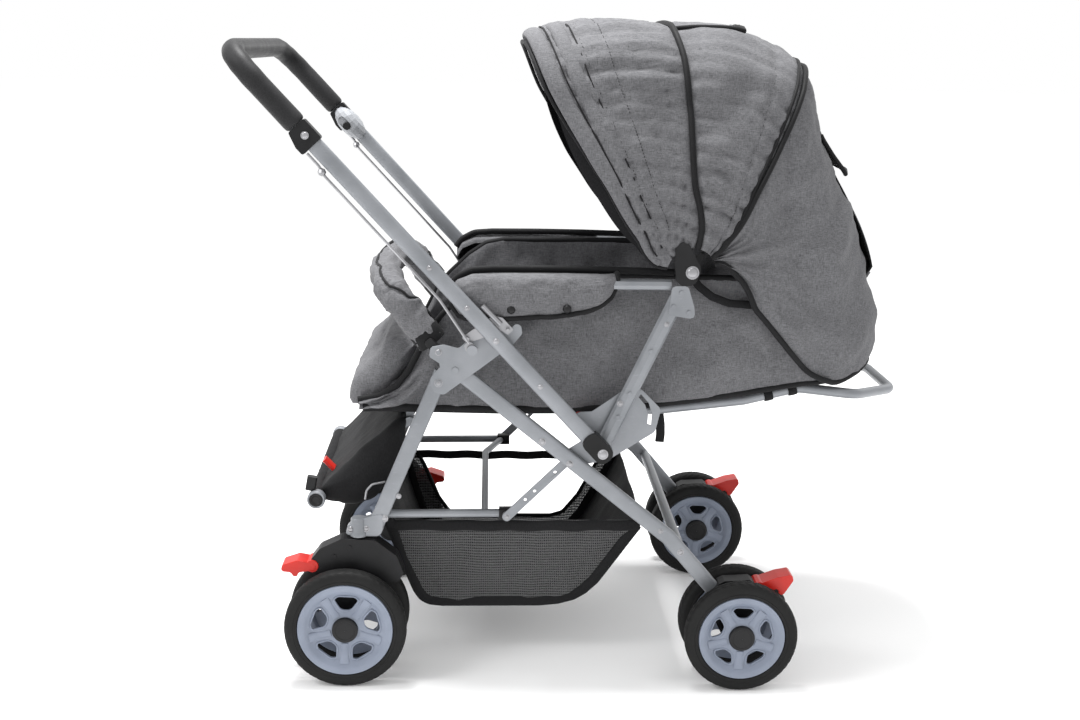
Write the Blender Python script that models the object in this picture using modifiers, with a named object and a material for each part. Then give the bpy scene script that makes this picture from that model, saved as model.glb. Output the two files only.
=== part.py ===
"""A folding pushchair with a reversible handle, modelled as separate pieces.

Metres, +Z up. X runs from the foot end (-X) to the head end (+X), the near side is -Y,
and the origin is on the ground under the middle of the pushchair.
"""

import math

import bmesh
import bpy
from mathutils import Matrix, Vector

# Wheels
FRONT_WHEEL_R = 0.094
REAR_WHEEL_R = 0.0875
WHEEL_WIDTH = 0.026
WHEEL_SPACING = 0.072
TYRE_HEIGHT = 0.022
SPOKE_COUNT = 5
HUB_CAP_R = 0.020
AXLE_R = 0.0045
AXLE_BOSS_R = 0.012
FRONT_TRACK = 0.222
REAR_TRACK = 0.240
FRONT_AXLE_X = -0.363
REAR_AXLE_X = 0.246
CASTER_TRAIL = 0.019

# Side view of the frame, as (x, z)
FOLD_PIVOT = (-0.220, 0.480)
LEG_TOP_PIN = (-0.195, 0.500)
PLATE_TOP_PIN = (-0.220, 0.527)
HANDLE_STUD = (-0.170, 0.534)
ARMREST_PIN = (-0.151, 0.536)
BRACE_FRONT = (-0.304, 0.260)
BRACE_JOINT = (-0.116, 0.2615)
BRACE_REAR = (-0.022, 0.354)
REAR_LEG_RIVET = (-0.064, 0.389)
HANDLE_PIVOT = (0.026, 0.377)
STRUT_TOP = (0.138, 0.619)
RECLINE_PIVOT = (0.056, 0.423)
CANOPY_PIVOT = (0.153, 0.649)
HUB_BOTTOM = 0.629
REAR_LEG_BEND = (0.133, 0.235)
REAR_LEG_FOOT = (0.2045, 0.151)
FRONT_LEG_FOOT = (-0.3205, 0.240)
FOOTREST_PIVOT = (-0.268, 0.396)
BUTTON_AT = (-0.003, 0.4215)

# Distances of the side pieces from the middle plane
FRONT_LEG_Y = 0.222
REAR_LEG_Y = 0.240
HANDLE_Y = 0.262
ARMREST_Y = 0.234
BRACE_Y = 0.205
INNER_PLATE_Y = 0.2305
OUTER_PLATE_Y = 0.2480
BUMPER_Y = 0.2200

# Tubes and plates
LEG_WIDTH = 0.024
LEG_DEPTH = 0.012
HANDLE_WIDTH = 0.024
HANDLE_DEPTH = 0.012
ROUND_TUBE_R = 0.008
BRACE_R = 0.0065
PLATE_THICKNESS = 0.0025
RIVET_R = 0.0035
STUD_R = 0.0040
STUD_HEAD_R = 0.0080
ROD_R = 0.0022
LATCH_PIN_R = 0.0030
GAP = 0.0003
PIN_R = 0.0045
LINK_THICKNESS = 0.003
LEVER_HALF_WIDTH = 0.017
LEVER_HUB_R = 0.0100
STEM_R = 0.0100

# Handle
HANDLE_LENGTH = 0.795
HANDLE_CORNER_R = 0.075
GRIP_LENGTH = 0.140
GRIP_EXTRA = 0.0045
LATCH_LENGTH = 0.027
RELEASE_OFFSET = 0.010
RELEASE_KNOB_R = 0.0065
ROD_BEND_OFFSET = 0.087

# Gondola, canopy, basket and pads
GONDOLA_HALF_WIDTH = 0.194
GONDOLA_WALL = 0.008
GONDOLA_SEAM_X = 0.080
GONDOLA_HEAD_X = 0.436
GONDOLA_CORNER_R = 0.10
FLOOR_Z = 0.432
FLOOR_THICKNESS = 0.008
SEAT_PAD_THICKNESS = 0.024
SEAT_PAD_EDGE = 0.008
RECLINE_Y = 0.176
BRACE_LINK_Y = 0.2225
SLOT_R = 0.044
SLOT_HALF_WIDTH = 0.003
SLOT_ANGLES = (52, 30, 8, -14)
ARMREST_Z = 0.628
RIM_Z = ARMREST_Z + 0.004
COVER_OUTER = ARMREST_Y + 0.014
CANOPY_HALF_WIDTH = 0.238
CANOPY_THICKNESS = 0.004
BASKET_TOP_HALF_WIDTH = FRONT_TRACK - 0.032
BASKET_BOTTOM_HALF_WIDTH = FRONT_TRACK - 0.072
BASKET_WALL = 0.004
BASKET_SIDE = (
    (-0.3066, 0.2440),
    (-0.2610, 0.1060),
    (-0.2400, 0.0880),
    (-0.0600, 0.0870),
    (-0.0050, 0.0980),
    (0.0300, 0.1300),
    (0.0960, 0.2330),
    (0.0960, 0.2440),
)
BASKET_BRIM_ABOVE = 0.32
BASKET_LOW_Z = 0.080
BASKET_SCOOP = ((-0.262, 0.2180), (-0.220, 0.1300), (-0.010, 0.1300), (0.060, 0.2180))
TUB_RIM_FOOT_X = -0.120
TUB_INNER_FOOT_X = -0.330
TUB_FOOT_END = (
    (-0.172, 0.606),
    (-0.245, 0.530),
    (-0.275, 0.478),
    (-0.330, 0.462),
    (-0.376, 0.436),
    (-0.376, 0.404),
    (-0.340, 0.402),
    (-0.300, 0.424),
    (0.030, 0.423),
    (0.044, 0.433),
)
TUB_FLOOR_END_X = 0.040
HEAD_UNDERSIDE = ((0.251, 0.4475), (0.335, 0.4680), (0.470, 0.4680))
HEAD_RIM = ((0.470, 0.606), (0.300, 0.628))
BACKREST_SIDE = (
    (0.062, 0.4340),
    (0.251, 0.4462),
    (0.335, 0.4666),
    (0.460, 0.4666),
    (0.460, 0.4870),
    (0.340, 0.4890),
    (0.240, 0.4700),
    (0.062, 0.4520),
)
BUMPER_END = (-0.2300, 0.5370)
BUMPER_KNEE = (-0.256, 0.570)
BUMPER_BEND = (-0.276, 0.597)
BUMPER_MIDDLE = (-0.312, 0.612)
BUMPER_CORNER = 0.085
BUMPER_MIDDLE_Y = 0.060
BUMPER_R = 0.024
FOOTREST_HALF_WIDTH = 0.185


def clear_scene():
    for obj in list(bpy.data.objects):
        bpy.data.objects.remove(obj, do_unlink=True)


def collection(name):
    made = bpy.data.collections.new(name)
    bpy.context.scene.collection.children.link(made)
    return made


clear_scene()
PARTS = collection("pushchair")
HELPERS = collection("cutters")


def material(name, colour, roughness, metallic=0.0):
    made = bpy.data.materials.new(name)
    made.use_nodes = True
    shader = made.node_tree.nodes["Principled BSDF"]
    shader.inputs["Base Color"].default_value = (*colour, 1.0)
    shader.inputs["Roughness"].default_value = roughness
    shader.inputs["Metallic"].default_value = metallic
    return made


SILVER = material("silver_paint", (0.46, 0.47, 0.50), 0.38, 0.6)
STEEL = material("bright_steel", (0.62, 0.62, 0.64), 0.30, 0.9)
BLACK = material("black_plastic", (0.02, 0.02, 0.022), 0.45)
FOAM = material("black_foam", (0.03, 0.03, 0.032), 0.6)
RED = material("red_plastic", (0.75, 0.05, 0.03), 0.35)
WHITE = material("white_plastic", (0.75, 0.76, 0.78), 0.35)
GREY_CLOTH = material("grey_heather", (0.17, 0.17, 0.175), 0.9)
BLACK_CLOTH = material("black_cloth", (0.018, 0.018, 0.02), 0.85)
TYRE = material("tyre", (0.018, 0.018, 0.018), 0.7)


def at(point, y):
    return Vector((point[0], y, point[1]))


def along(start, end, share):
    """The (x, z) point that lies this share of the way from start to end."""
    return tuple(a + (b - a) * share for a, b in zip(start, end))


def offset_point(start, end, distance, sideways=0.0):
    """The (x, z) point this far from start towards end, and this far to the left of that way."""
    way = (Vector(end) - Vector(start)).normalized()
    return tuple(Vector(start) + way * distance + Vector((-way.y, way.x)) * sideways)


def rounded(corners, radius, steps=4):
    """The closed outline through these corners, each one rounded by an arc."""
    points = []
    count = len(corners)
    for i, corner in enumerate(corners):
        here = Vector(corner)
        before = Vector(corners[i - 1]) - here
        after = Vector(corners[(i + 1) % count]) - here
        half = before.angle(after) / 2
        reach = min(radius / math.tan(half), before.length * 0.45, after.length * 0.45)
        size = reach * math.tan(half)
        centre = here + (before.normalized() + after.normalized()).normalized() * (size / math.sin(half))
        first = here + before.normalized() * reach - centre
        last = here + after.normalized() * reach - centre
        turn = first.angle_signed(last)
        for step in range(steps + 1):
            arm = first.copy()
            arm.rotate(Matrix.Rotation(-turn * step / steps, 2))
            points.append(tuple(centre + arm))
    return points


def put(obj, finish=None, helper=False):
    """Files the object with the parts, or with the cutters and other helpers."""
    for owner in list(obj.users_collection):
        owner.objects.unlink(obj)
    (HELPERS if helper else PARTS).objects.link(obj)
    if helper:
        obj.hide_render = True
        obj.display_type = "WIRE"
    if finish:
        obj.data.materials.clear()
        obj.data.materials.append(finish)
    return obj


def as_mesh(obj, finish):
    """A mesh object in the place of a curve, with its loose caps welded to its sides."""
    bpy.context.view_layer.update()
    evaluated = obj.evaluated_get(bpy.context.evaluated_depsgraph_get())
    mesh = bpy.data.meshes.new_from_object(evaluated)
    work = bmesh.new()
    work.from_mesh(mesh)
    bmesh.ops.remove_doubles(work, verts=work.verts, dist=1e-5)
    work.transform(obj.matrix_world)
    if obj.matrix_world.determinant() < 0:
        bmesh.ops.reverse_faces(work, faces=work.faces)
    bmesh.ops.recalc_face_normals(work, faces=work.faces)
    work.to_mesh(mesh)
    work.free()
    name = obj.name
    data = obj.data
    bpy.data.objects.remove(obj, do_unlink=True)
    bpy.data.curves.remove(data)
    made = bpy.data.objects.new(name, mesh)
    PARTS.objects.link(made)
    mesh.materials.clear()
    mesh.materials.append(finish)
    mesh.shade_smooth()
    mesh.set_sharp_from_angle(angle=math.radians(35))
    return made


def plate(name, outline, y, thickness, finish):
    """A flat piece of this (x, z) outline, centred on the plane at y."""
    curve = bpy.data.curves.new(name, "CURVE")
    curve.dimensions = "2D"
    curve.fill_mode = "BOTH"
    curve.extrude = thickness / 2
    spline = curve.splines.new("POLY")
    spline.points.add(len(outline) - 1)
    for point, (x, z) in zip(spline.points, outline):
        point.co = (x, z, 0, 1)
    spline.use_cyclic_u = True
    obj = bpy.data.objects.new(name, curve)
    obj.location = (0, y, 0)
    obj.rotation_euler = (math.pi / 2, 0, 0)
    PARTS.objects.link(obj)
    return as_mesh(obj, finish)


def round_path(points, radius, steps=3):
    """The open path through these points, with each inner corner rounded to this radius."""
    path = [Vector(points[0])]
    for before, here, after in zip(points, points[1:], points[2:]):
        here = Vector(here)
        back = Vector(before) - here
        ahead = Vector(after) - here
        half = back.angle(ahead) / 2
        reach = min(radius / math.tan(half), back.length * 0.48, ahead.length * 0.48)
        start = here + back.normalized() * reach
        end = here + ahead.normalized() * reach
        for step in range(steps + 1):
            t = step / steps
            path.append((1 - t) ** 2 * start + 2 * t * (1 - t) * here + t ** 2 * end)
    path.append(Vector(points[-1]))
    return path


def tube(name, path, radius, finish, resolution=2, radii=None, flatten=None):
    """A solid tube along the path. flatten is (plane point, plane normal, share): the tube is
    squeezed to this share towards the plane, which makes a round section oval."""
    curve = bpy.data.curves.new(name, "CURVE")
    curve.dimensions = "3D"
    curve.bevel_depth = radius
    curve.bevel_resolution = resolution
    curve.use_fill_caps = True
    spline = curve.splines.new("POLY")
    spline.points.add(len(path) - 1)
    for i, (point, place) in enumerate(zip(spline.points, path)):
        point.co = (*place, 1)
        point.radius = radii[i] if radii else 1.0
    obj = bpy.data.objects.new(name, curve)
    PARTS.objects.link(obj)
    made = as_mesh(obj, finish)
    if flatten:
        origin, normal, share = flatten
        squeeze = Matrix.Translation(origin) @ Matrix.Scale(share, 4, normal) @ Matrix.Translation(-origin)
        made.data.transform(squeeze)
    return made


def flat_tube(name, points, y, finish, width=LEG_WIDTH, depth=LEG_DEPTH, corner=0.03):
    """A flat-oval tube through these (x, z) points in the plane at y."""
    path = round_path([at(p, y) for p in points], corner)
    flatten = (Vector((0, y, 0)), Vector((0, 1, 0)), depth / width)
    return tube(name, path, width / 2, finish, 2, flatten=flatten)


def pin(name, point, y_from, y_to, radius, finish, sides=12):
    """A round pin across the pushchair at this (x, z) point."""
    bpy.ops.mesh.primitive_cylinder_add(
        vertices=sides,
        radius=radius,
        depth=abs(y_to - y_from),
        location=(point[0], (y_from + y_to) / 2, point[1]),
        rotation=(math.pi / 2, 0, 0),
    )
    obj = bpy.context.object
    obj.name = name
    bpy.ops.object.transform_apply(location=True, rotation=True, scale=True)
    return put(obj, finish)


def block(name, low, high, finish, bevel=0.0):
    size = [b - a for a, b in zip(low, high)]
    bpy.ops.mesh.primitive_cube_add(size=1, location=[(a + b) / 2 for a, b in zip(low, high)])
    obj = bpy.context.object
    obj.name = name
    obj.scale = size
    bpy.ops.object.transform_apply(location=True, rotation=True, scale=True)
    if bevel:
        edge = obj.modifiers.new("edges", "BEVEL")
        edge.width = bevel
        edge.segments = 2
    return put(obj, finish)


def combine(obj, others, operation="UNION"):
    """Joins the others to obj, or cuts them from it, with Boolean modifiers."""
    for other in others:
        put(other, helper=True)
        step = obj.modifiers.new(operation.lower(), "BOOLEAN")
        step.operation = operation
        step.object = other
    return obj


def cut(obj, others):
    return combine(obj, others, "DIFFERENCE")


def pivot(name, location, parent=None):
    """An empty on a joint's axis, which carries the pieces that turn on it."""
    empty = bpy.data.objects.new(name, None)
    empty.empty_display_size = 0.02
    PARTS.objects.link(empty)
    empty.location = location
    bpy.context.view_layer.update()
    if parent:
        carry(parent, empty)
    return empty


def carry(parent, *pieces):
    bpy.context.view_layer.update()
    for piece in pieces:
        piece.parent = parent
        piece.matrix_parent_inverse = parent.matrix_world.inverted()


SIDES = (("near", -1), ("far", 1))

# Rear legs, plates, armrests and struts: the fixed frame
frame_root = pivot("frame_root", (0, 0, 0))


def bolt(name, point, y_inner, y_outer, side, radius=RIVET_R):
    """A rivet through the stack between the two distances from the middle plane."""
    return pin(name, point, side * y_inner, side * y_outer, radius, STEEL, 8)


LATCH_NOTCH = (-0.1175, 0.5635)


def front_plate_outline():
    """The stamped plate: pins along its left side, and an arm to the right with the latch notch."""
    corners = [
        (-0.2315, 0.5350),
        (-0.2120, 0.5385),
        (-0.1900, 0.5330),
        (-0.1740, 0.5480),
        (-0.1500, 0.5550),
        (-0.1300, 0.5645),
        (-0.1238, 0.5645),
        (-0.1195, 0.5575),
        (-0.1130, 0.5575),
        (-0.1100, 0.5700),
        (-0.0985, 0.5700),
        (-0.0960, 0.5560),
        (-0.1090, 0.5400),
        (-0.1600, 0.5010),
        (-0.2120, 0.4620),
        (-0.2270, 0.4660),
        (-0.2330, 0.4860),
        (-0.2150, 0.5080),
        (-0.2340, 0.5200),
    ]
    return rounded(corners, 0.004, 1)


def make_frame_side(label, side):
    """The rear leg, front plate, armrest, strut and recline plate of one side."""
    leg = flat_tube(
        f"rear_leg_{label}",
        [offset_point(LEG_TOP_PIN, REAR_LEG_BEND, -0.014), REAR_LEG_BEND, REAR_LEG_FOOT],
        side * REAR_LEG_Y,
        SILVER,
    )
    outer = REAR_LEG_Y + LEG_DEPTH / 2
    inner = REAR_LEG_Y - LEG_DEPTH / 2
    plate_in = OUTER_PLATE_Y - PLATE_THICKNESS / 2
    plate_out = OUTER_PLATE_Y + PLATE_THICKNESS / 2
    combine(
        leg,
        [
            bolt(f"leg_rivet_{label}", REAR_LEG_RIVET, inner - 0.001, outer + 0.0015, side, 0.0045),
            bolt(f"leg_pin_{label}", BRACE_REAR, inner - 0.0012, outer + 0.0015, side, 0.0045),
        ],
    )

    front_plate = plate(
        f"front_plate_{label}", front_plate_outline(), side * OUTER_PLATE_Y, PLATE_THICKNESS, SILVER
    )
    combine(
        front_plate,
        [
            bolt(f"stud_{label}", HANDLE_STUD, plate_in, HANDLE_Y + 0.0040, side, STUD_R),
            pin(
                f"stud_head_{label}",
                HANDLE_STUD,
                side * (HANDLE_Y + 0.0032),
                side * (HANDLE_Y + 0.0070),
                STUD_HEAD_R,
                STEEL,
                14,
            ),
            bolt(f"plate_rivet_{label}", PLATE_TOP_PIN, plate_in, plate_out + 0.002, side),
            bolt(f"leg_head_{label}", LEG_TOP_PIN, outer + GAP, plate_out + 0.002, side, 0.005),
            bolt(
                f"fold_pin_{label}",
                FOLD_PIVOT,
                FRONT_LEG_Y + LEG_DEPTH / 2 + GAP,
                plate_out + 0.002,
                side,
                0.005,
            ),
        ],
    )

    arm_end = (STRUT_TOP[0] - 0.014, ARMREST_Z)
    arm_path = round_path(
        [
            at(ARMREST_PIN, side * ARMREST_Y),
            at((ARMREST_PIN[0] - 0.004, ARMREST_Z - 0.03), side * ARMREST_Y),
            at((ARMREST_PIN[0] + 0.045, ARMREST_Z), side * ARMREST_Y),
            at(arm_end, side * ARMREST_Y),
        ],
        0.04,
        3,
    )
    armrest = tube(f"armrest_{label}", arm_path, ROUND_TUBE_R, SILVER, 2)
    pin_at = (ARMREST_PIN[0], ARMREST_PIN[1] + 0.005)
    combine(armrest, [bolt(f"armrest_pin_{label}", pin_at, ARMREST_Y, plate_in - GAP, side, PIN_R)])

    strut = flat_tube(
        f"strut_{label}",
        [offset_point(STRUT_TOP, HANDLE_PIVOT, -0.004), offset_point(HANDLE_PIVOT, STRUT_TOP, 0.0)],
        side * REAR_LEG_Y,
        SILVER,
    )
    corner_plate = plate(
        f"corner_plate_{label}",
        rounded(
            [
                (STRUT_TOP[0] - 0.014, HUB_BOTTOM - GAP),
                (STRUT_TOP[0] - 0.018, STRUT_TOP[1] - 0.034),
                (STRUT_TOP[0] + 0.022, STRUT_TOP[1] - 0.040),
                (STRUT_TOP[0] + 0.020, STRUT_TOP[1] - 0.022),
                (STRUT_TOP[0] + 0.010, HUB_BOTTOM - GAP),
            ],
            0.006,
            2,
        ),
        side * (outer + PLATE_THICKNESS / 2 - 0.0006),
        PLATE_THICKNESS,
        SILVER,
    )
    combine(
        strut,
        [corner_plate]
        + [
            bolt(f"strut_rivet_{i}_{label}", spot, REAR_LEG_Y, outer + 0.004, side)
            for i, spot in enumerate(
                (
                    STRUT_TOP,
                    (STRUT_TOP[0] - 0.011, STRUT_TOP[1] - 0.021),
                    (STRUT_TOP[0] + 0.012, STRUT_TOP[1] - 0.030),
                )
            )
        ]
        + [
            bolt(f"strut_mid_rivet_{i}_{label}", spot, REAR_LEG_Y, outer + 0.002, side)
            for i, spot in enumerate(along(HANDLE_PIVOT, STRUT_TOP, share) for share in (0.21, 0.36, 0.63))
        ],
    )

    quadrant = plate(
        f"recline_plate_{label}",
        rounded(
            [
                (BRACE_REAR[0] - 0.012, BRACE_REAR[1] - 0.010),
                (HANDLE_PIVOT[0] + 0.010, HANDLE_PIVOT[1] - 0.022),
                (RECLINE_PIVOT[0] + 0.052, RECLINE_PIVOT[1] - 0.022),
                (RECLINE_PIVOT[0] + 0.060, RECLINE_PIVOT[1] + 0.014),
                (RECLINE_PIVOT[0] + 0.028, RECLINE_PIVOT[1] + 0.046),
                (RECLINE_PIVOT[0] - 0.002, RECLINE_PIVOT[1] + 0.040),
                (BUTTON_AT[0] + 0.014, BUTTON_AT[1] + 0.011),
                (BUTTON_AT[0] - 0.012, BUTTON_AT[1] + 0.010),
                (BUTTON_AT[0] - 0.012, BUTTON_AT[1] - 0.012),
                (HANDLE_PIVOT[0] - 0.022, HANDLE_PIVOT[1] + 0.014),
                (BRACE_REAR[0] - 0.010, BRACE_REAR[1] + 0.014),
            ],
            0.010,
            3,
        ),
        side * INNER_PLATE_Y,
        PLATE_THICKNESS,
        SILVER,
    )
    slot = recline_slot(label, side)
    cut(quadrant, [slot])
    inner_face = INNER_PLATE_Y - PLATE_THICKNESS / 2
    outer_face = INNER_PLATE_Y + PLATE_THICKNESS / 2
    tube_face = RECLINE_Y + ROUND_TUBE_R + GAP
    link_face = BRACE_LINK_Y + LINK_THICKNESS / 2 + GAP
    combine(
        quadrant,
        [
            bolt(f"recline_pin_{label}", RECLINE_PIVOT, tube_face, outer_face, side, 0.005),
            bolt(f"handle_pin_base_{label}", HANDLE_PIVOT, inner_face, inner - GAP, side, 0.006),
            bolt(f"brace_pin_{label}", BRACE_REAR, link_face, inner - 0.0012 - GAP, side, PIN_R),
        ],
    )
    carry(frame_root, leg, front_plate, armrest, strut, quadrant)


def recline_slot(label, side):
    """The curved slot that the backrest's bolt runs in, about the recline pivot."""
    edges = [(a, SLOT_R + SLOT_HALF_WIDTH) for a in SLOT_ANGLES]
    edges += [(a, SLOT_R - SLOT_HALF_WIDTH) for a in reversed(SLOT_ANGLES)]
    outline = [
        (RECLINE_PIVOT[0] + r * math.cos(math.radians(a)), RECLINE_PIVOT[1] + r * math.sin(math.radians(a)))
        for a, r in edges
    ]
    return plate(f"recline_slot_{label}", outline[::-1], side * INNER_PLATE_Y, 0.02, SILVER)


for label, side in SIDES:
    make_frame_side(label, side)

rear_bar = tube(
    "rear_cross_tube",
    [
        at((REAR_LEG_BEND[0] + 0.016, REAR_LEG_BEND[1] - 0.012), -(REAR_LEG_Y - LEG_DEPTH / 2 - GAP)),
        at((REAR_LEG_BEND[0] + 0.016, REAR_LEG_BEND[1] - 0.012), REAR_LEG_Y - LEG_DEPTH / 2 - GAP),
    ],
    ROUND_TUBE_R,
    SILVER,
)
carry(frame_root, rear_bar)


def make_rear_hub(label, side):
    """The plastic housing between a pair of rear wheels, with the axle that carries them."""
    axle = (REAR_AXLE_X, REAR_WHEEL_R)
    foot = REAR_LEG_FOOT
    housing = plate(
        f"rear_hub_{label}",
        rounded(
            [
                (axle[0] - 0.022, axle[1] - 0.016),
                (axle[0] + 0.018, axle[1] - 0.016),
                (axle[0] + 0.036, axle[1] + 0.052),
                (axle[0] + 0.024, axle[1] + 0.082),
                (foot[0] + 0.012, foot[1] + 0.016),
                (foot[0] - 0.012, foot[1] - 0.014),
            ],
            0.012,
            1,
        ),
        side * REAR_TRACK,
        0.026,
        BLACK,
    )
    leg_room = flat_tube(
        f"leg_socket_{label}",
        [REAR_LEG_BEND, REAR_LEG_FOOT],
        side * REAR_LEG_Y,
        BLACK,
        LEG_WIDTH + 2 * GAP,
        LEG_DEPTH + 2 * GAP,
    )
    cut(housing, [leg_room])
    y = side * REAR_TRACK
    half = WHEEL_SPACING / 2 + WHEEL_WIDTH / 2 - 0.006
    boss = WHEEL_SPACING / 2 - WHEEL_WIDTH / 2 - GAP
    combine(
        housing,
        [
            pin(f"rear_axle_{label}", axle, y - half, y + half, AXLE_R, STEEL, 10),
            pin(f"rear_axle_boss_{label}", axle, y - boss, y + boss, AXLE_BOSS_R, BLACK, 12),
        ],
    )
    carry(frame_root, housing)

    hinge = (axle[0] + 0.030, axle[1] + 0.070)
    lever_pivot = pivot(f"brake_pivot_{label}", at(hinge, side * REAR_TRACK), frame_root)
    lever = plate(
        f"brake_lever_{label}",
        rounded(
            [
                (hinge[0] - 0.004, hinge[1] + 0.006),
                (hinge[0] + 0.006, hinge[1] - 0.008),
                (hinge[0] + 0.030, hinge[1] + 0.000),
                (hinge[0] + 0.030, hinge[1] - 0.012),
                (hinge[0] + 0.038, hinge[1] - 0.010),
                (hinge[0] + 0.052, hinge[1] + 0.012),
                (hinge[0] + 0.050, hinge[1] + 0.022),
                (hinge[0] + 0.028, hinge[1] + 0.018),
            ][::-1],
            0.003,
            1,
        ),
        y,
        2 * LEVER_HALF_WIDTH,
        RED,
    )
    half = LEVER_HALF_WIDTH
    combine(lever, [pin(f"brake_hub_{label}", hinge, y - half, y + half, LEVER_HUB_R, RED, 12)])
    half += 0.003
    cut(housing, [pin(f"brake_notch_{label}", hinge, y - half, y + half, LEVER_HUB_R + 2 * GAP, RED, 12)])
    carry(lever_pivot, lever)


for label, side in SIDES:
    make_rear_hub(label, side)


# Wheels: a plastic rim with five openings, with the tyre bonded on
def wheel_profile(radius):
    """The turned profile as (radius, distance from the inner face), outer side first."""
    rim = radius - TYRE_HEIGHT
    width = WHEEL_WIDTH
    return [
        (0.0, width + 0.003),
        (HUB_CAP_R * 0.85, width + 0.002),
        (HUB_CAP_R, width - 0.006),
        (rim - 0.006, width - 0.006),
        (rim + 0.004, width),
        (radius - 0.003, width - 0.004),
        (radius, width - 0.010),
        (radius, 0.010),
        (radius - 0.003, 0.004),
        (rim + 0.004, 0.0),
        (rim - 0.006, 0.008),
        (HUB_CAP_R, 0.008),
        (0.014, 0.0),
        (AXLE_R + GAP, 0.0),
        (AXLE_R + GAP, width - 0.0055),
        (0.0, width - 0.0055),
    ]


def make_wheel(name, axle, y_middle, outward, radius, steps=20):
    mesh = bpy.data.meshes.new(name)
    work = bmesh.new()
    profile = wheel_profile(radius)
    verts = [work.verts.new((r, 0, h - WHEEL_WIDTH / 2)) for r, h in profile]
    edges = [work.edges.new(pair) for pair in zip(verts, verts[1:])]
    bmesh.ops.spin(
        work,
        geom=verts + edges,
        cent=(0, 0, 0),
        axis=(0, 0, 1),
        angle=math.tau,
        steps=steps,
        use_merge=True,
    )
    bmesh.ops.remove_doubles(work, verts=work.verts, dist=1e-5)
    bmesh.ops.recalc_face_normals(work, faces=work.faces)
    turn = Matrix.Rotation(math.radians(90 if outward < 0 else -90), 4, "X")
    work.transform(Matrix.Translation(at(axle, y_middle)) @ turn)
    work.to_mesh(mesh)
    work.free()
    wheel = bpy.data.objects.new(name, mesh)
    PARTS.objects.link(wheel)
    mesh.materials.append(TYRE)
    mesh.shade_smooth()
    mesh.set_sharp_from_angle(angle=math.radians(35))
    rim = radius - TYRE_HEIGHT
    low, high = HUB_CAP_R + 0.010, rim - 0.009
    for i in range(SPOKE_COUNT):
        middle = math.tau * (i + 0.215) / SPOKE_COUNT
        spread_low, spread_high = math.radians(17), math.radians(25)
        corners = [
            (low * math.cos(middle - spread_low), low * math.sin(middle - spread_low)),
            (high * math.cos(middle - spread_high), high * math.sin(middle - spread_high)),
            (high * 1.025 * math.cos(middle), high * 1.025 * math.sin(middle)),
            (high * math.cos(middle + spread_high), high * math.sin(middle + spread_high)),
            (low * math.cos(middle + spread_low), low * math.sin(middle + spread_low)),
        ]
        outline = [(axle[0] + x, axle[1] + z) for x, z in corners[::-1]]
        cut(wheel, [plate(f"{name}_opening_{i}", outline, y_middle, WHEEL_WIDTH * 2, TYRE)])
    return wheel


def make_wheel_pair(prefix, label, side, axle, track, radius, parent):
    for place, way in (("outer", 1), ("inner", -1)):
        y = side * (track + way * WHEEL_SPACING / 2)
        name = f"{prefix}_wheel_{label}_{place}"
        axis = pivot(f"{name}_axis", at(axle, y), parent)
        carry(axis, make_wheel(name, axle, y, side * way, radius))


for label, side in SIDES:
    make_wheel_pair("rear", label, side, (REAR_AXLE_X, REAR_WHEEL_R), REAR_TRACK, REAR_WHEEL_R, frame_root)

# Front legs, which fold back under the seat
fold_pivot = pivot("fold_pivot", at(FOLD_PIVOT, 0), frame_root)
CASTER_X = FRONT_AXLE_X + CASTER_TRAIL
CASTER_TOP = 0.2300
SOCKET_R = 0.012


def make_front_leg(label, side):
    """A front leg with its stamped foot plate and the socket that the caster turns in."""
    y = side * FRONT_LEG_Y
    leg = flat_tube(
        f"front_leg_{label}",
        [offset_point(FOLD_PIVOT, FRONT_LEG_FOOT, -0.012), FRONT_LEG_FOOT],
        y,
        SILVER,
    )
    foot = plate(
        f"foot_plate_{label}",
        rounded(
            [
                (FRONT_LEG_FOOT[0] + 0.014, FRONT_LEG_FOOT[1] + 0.030),
                (CASTER_X - 0.020, CASTER_TOP + 0.018),
                (CASTER_X - 0.020, CASTER_TOP + 0.004),
                (CASTER_X + 0.004, CASTER_TOP + 0.0012),
                (FRONT_LEG_FOOT[0] + 0.008, CASTER_TOP + 0.0012),
            ],
            0.005,
            2,
        ),
        y,
        LEG_DEPTH + 0.004,
        SILVER,
    )
    low = CASTER_TOP + GAP
    socket = cylinder_up(f"caster_socket_{label}", (CASTER_X, y), low, CASTER_TOP + 0.030, SOCKET_R, SILVER)
    rivet_end = FRONT_LEG_Y + LEG_DEPTH / 2 + 0.004
    rivets = [
        bolt(f"foot_rivet_{i}_{label}", (CASTER_X + dx, CASTER_TOP + 0.012), FRONT_LEG_Y, rivet_end, side)
        for i, dx in enumerate((-0.012, 0.011))
    ]
    eye_face = BRACE_Y + BRACE_R + GAP
    brace_pin = bolt(f"brace_front_pin_{label}", BRACE_FRONT, eye_face, FRONT_LEG_Y, side, PIN_R)
    combine(leg, [foot, socket, brace_pin] + rivets)
    return leg


def cylinder_up(name, place, low, high, radius, finish, sides=16):
    bpy.ops.mesh.primitive_cylinder_add(
        vertices=sides, radius=radius, depth=high - low, location=(place[0], place[1], (low + high) / 2)
    )
    obj = bpy.context.object
    obj.name = name
    bpy.ops.object.transform_apply(location=True, rotation=True, scale=True)
    return put(obj, finish)


for label, side in SIDES:
    carry(fold_pivot, make_front_leg(label, side))

FRONT_BAR_PLACE = (-0.3130, 0.2410)
FRONT_BAR_R = 0.007
FRONT_BAR_END = FRONT_LEG_Y - LEG_DEPTH / 2 - 0.002 - GAP
front_bar_path = [at(FRONT_BAR_PLACE, -FRONT_BAR_END), at(FRONT_BAR_PLACE, FRONT_BAR_END)]
front_bar = tube("front_cross_tube", front_bar_path, FRONT_BAR_R, SILVER)
carry(fold_pivot, front_bar)


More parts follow.
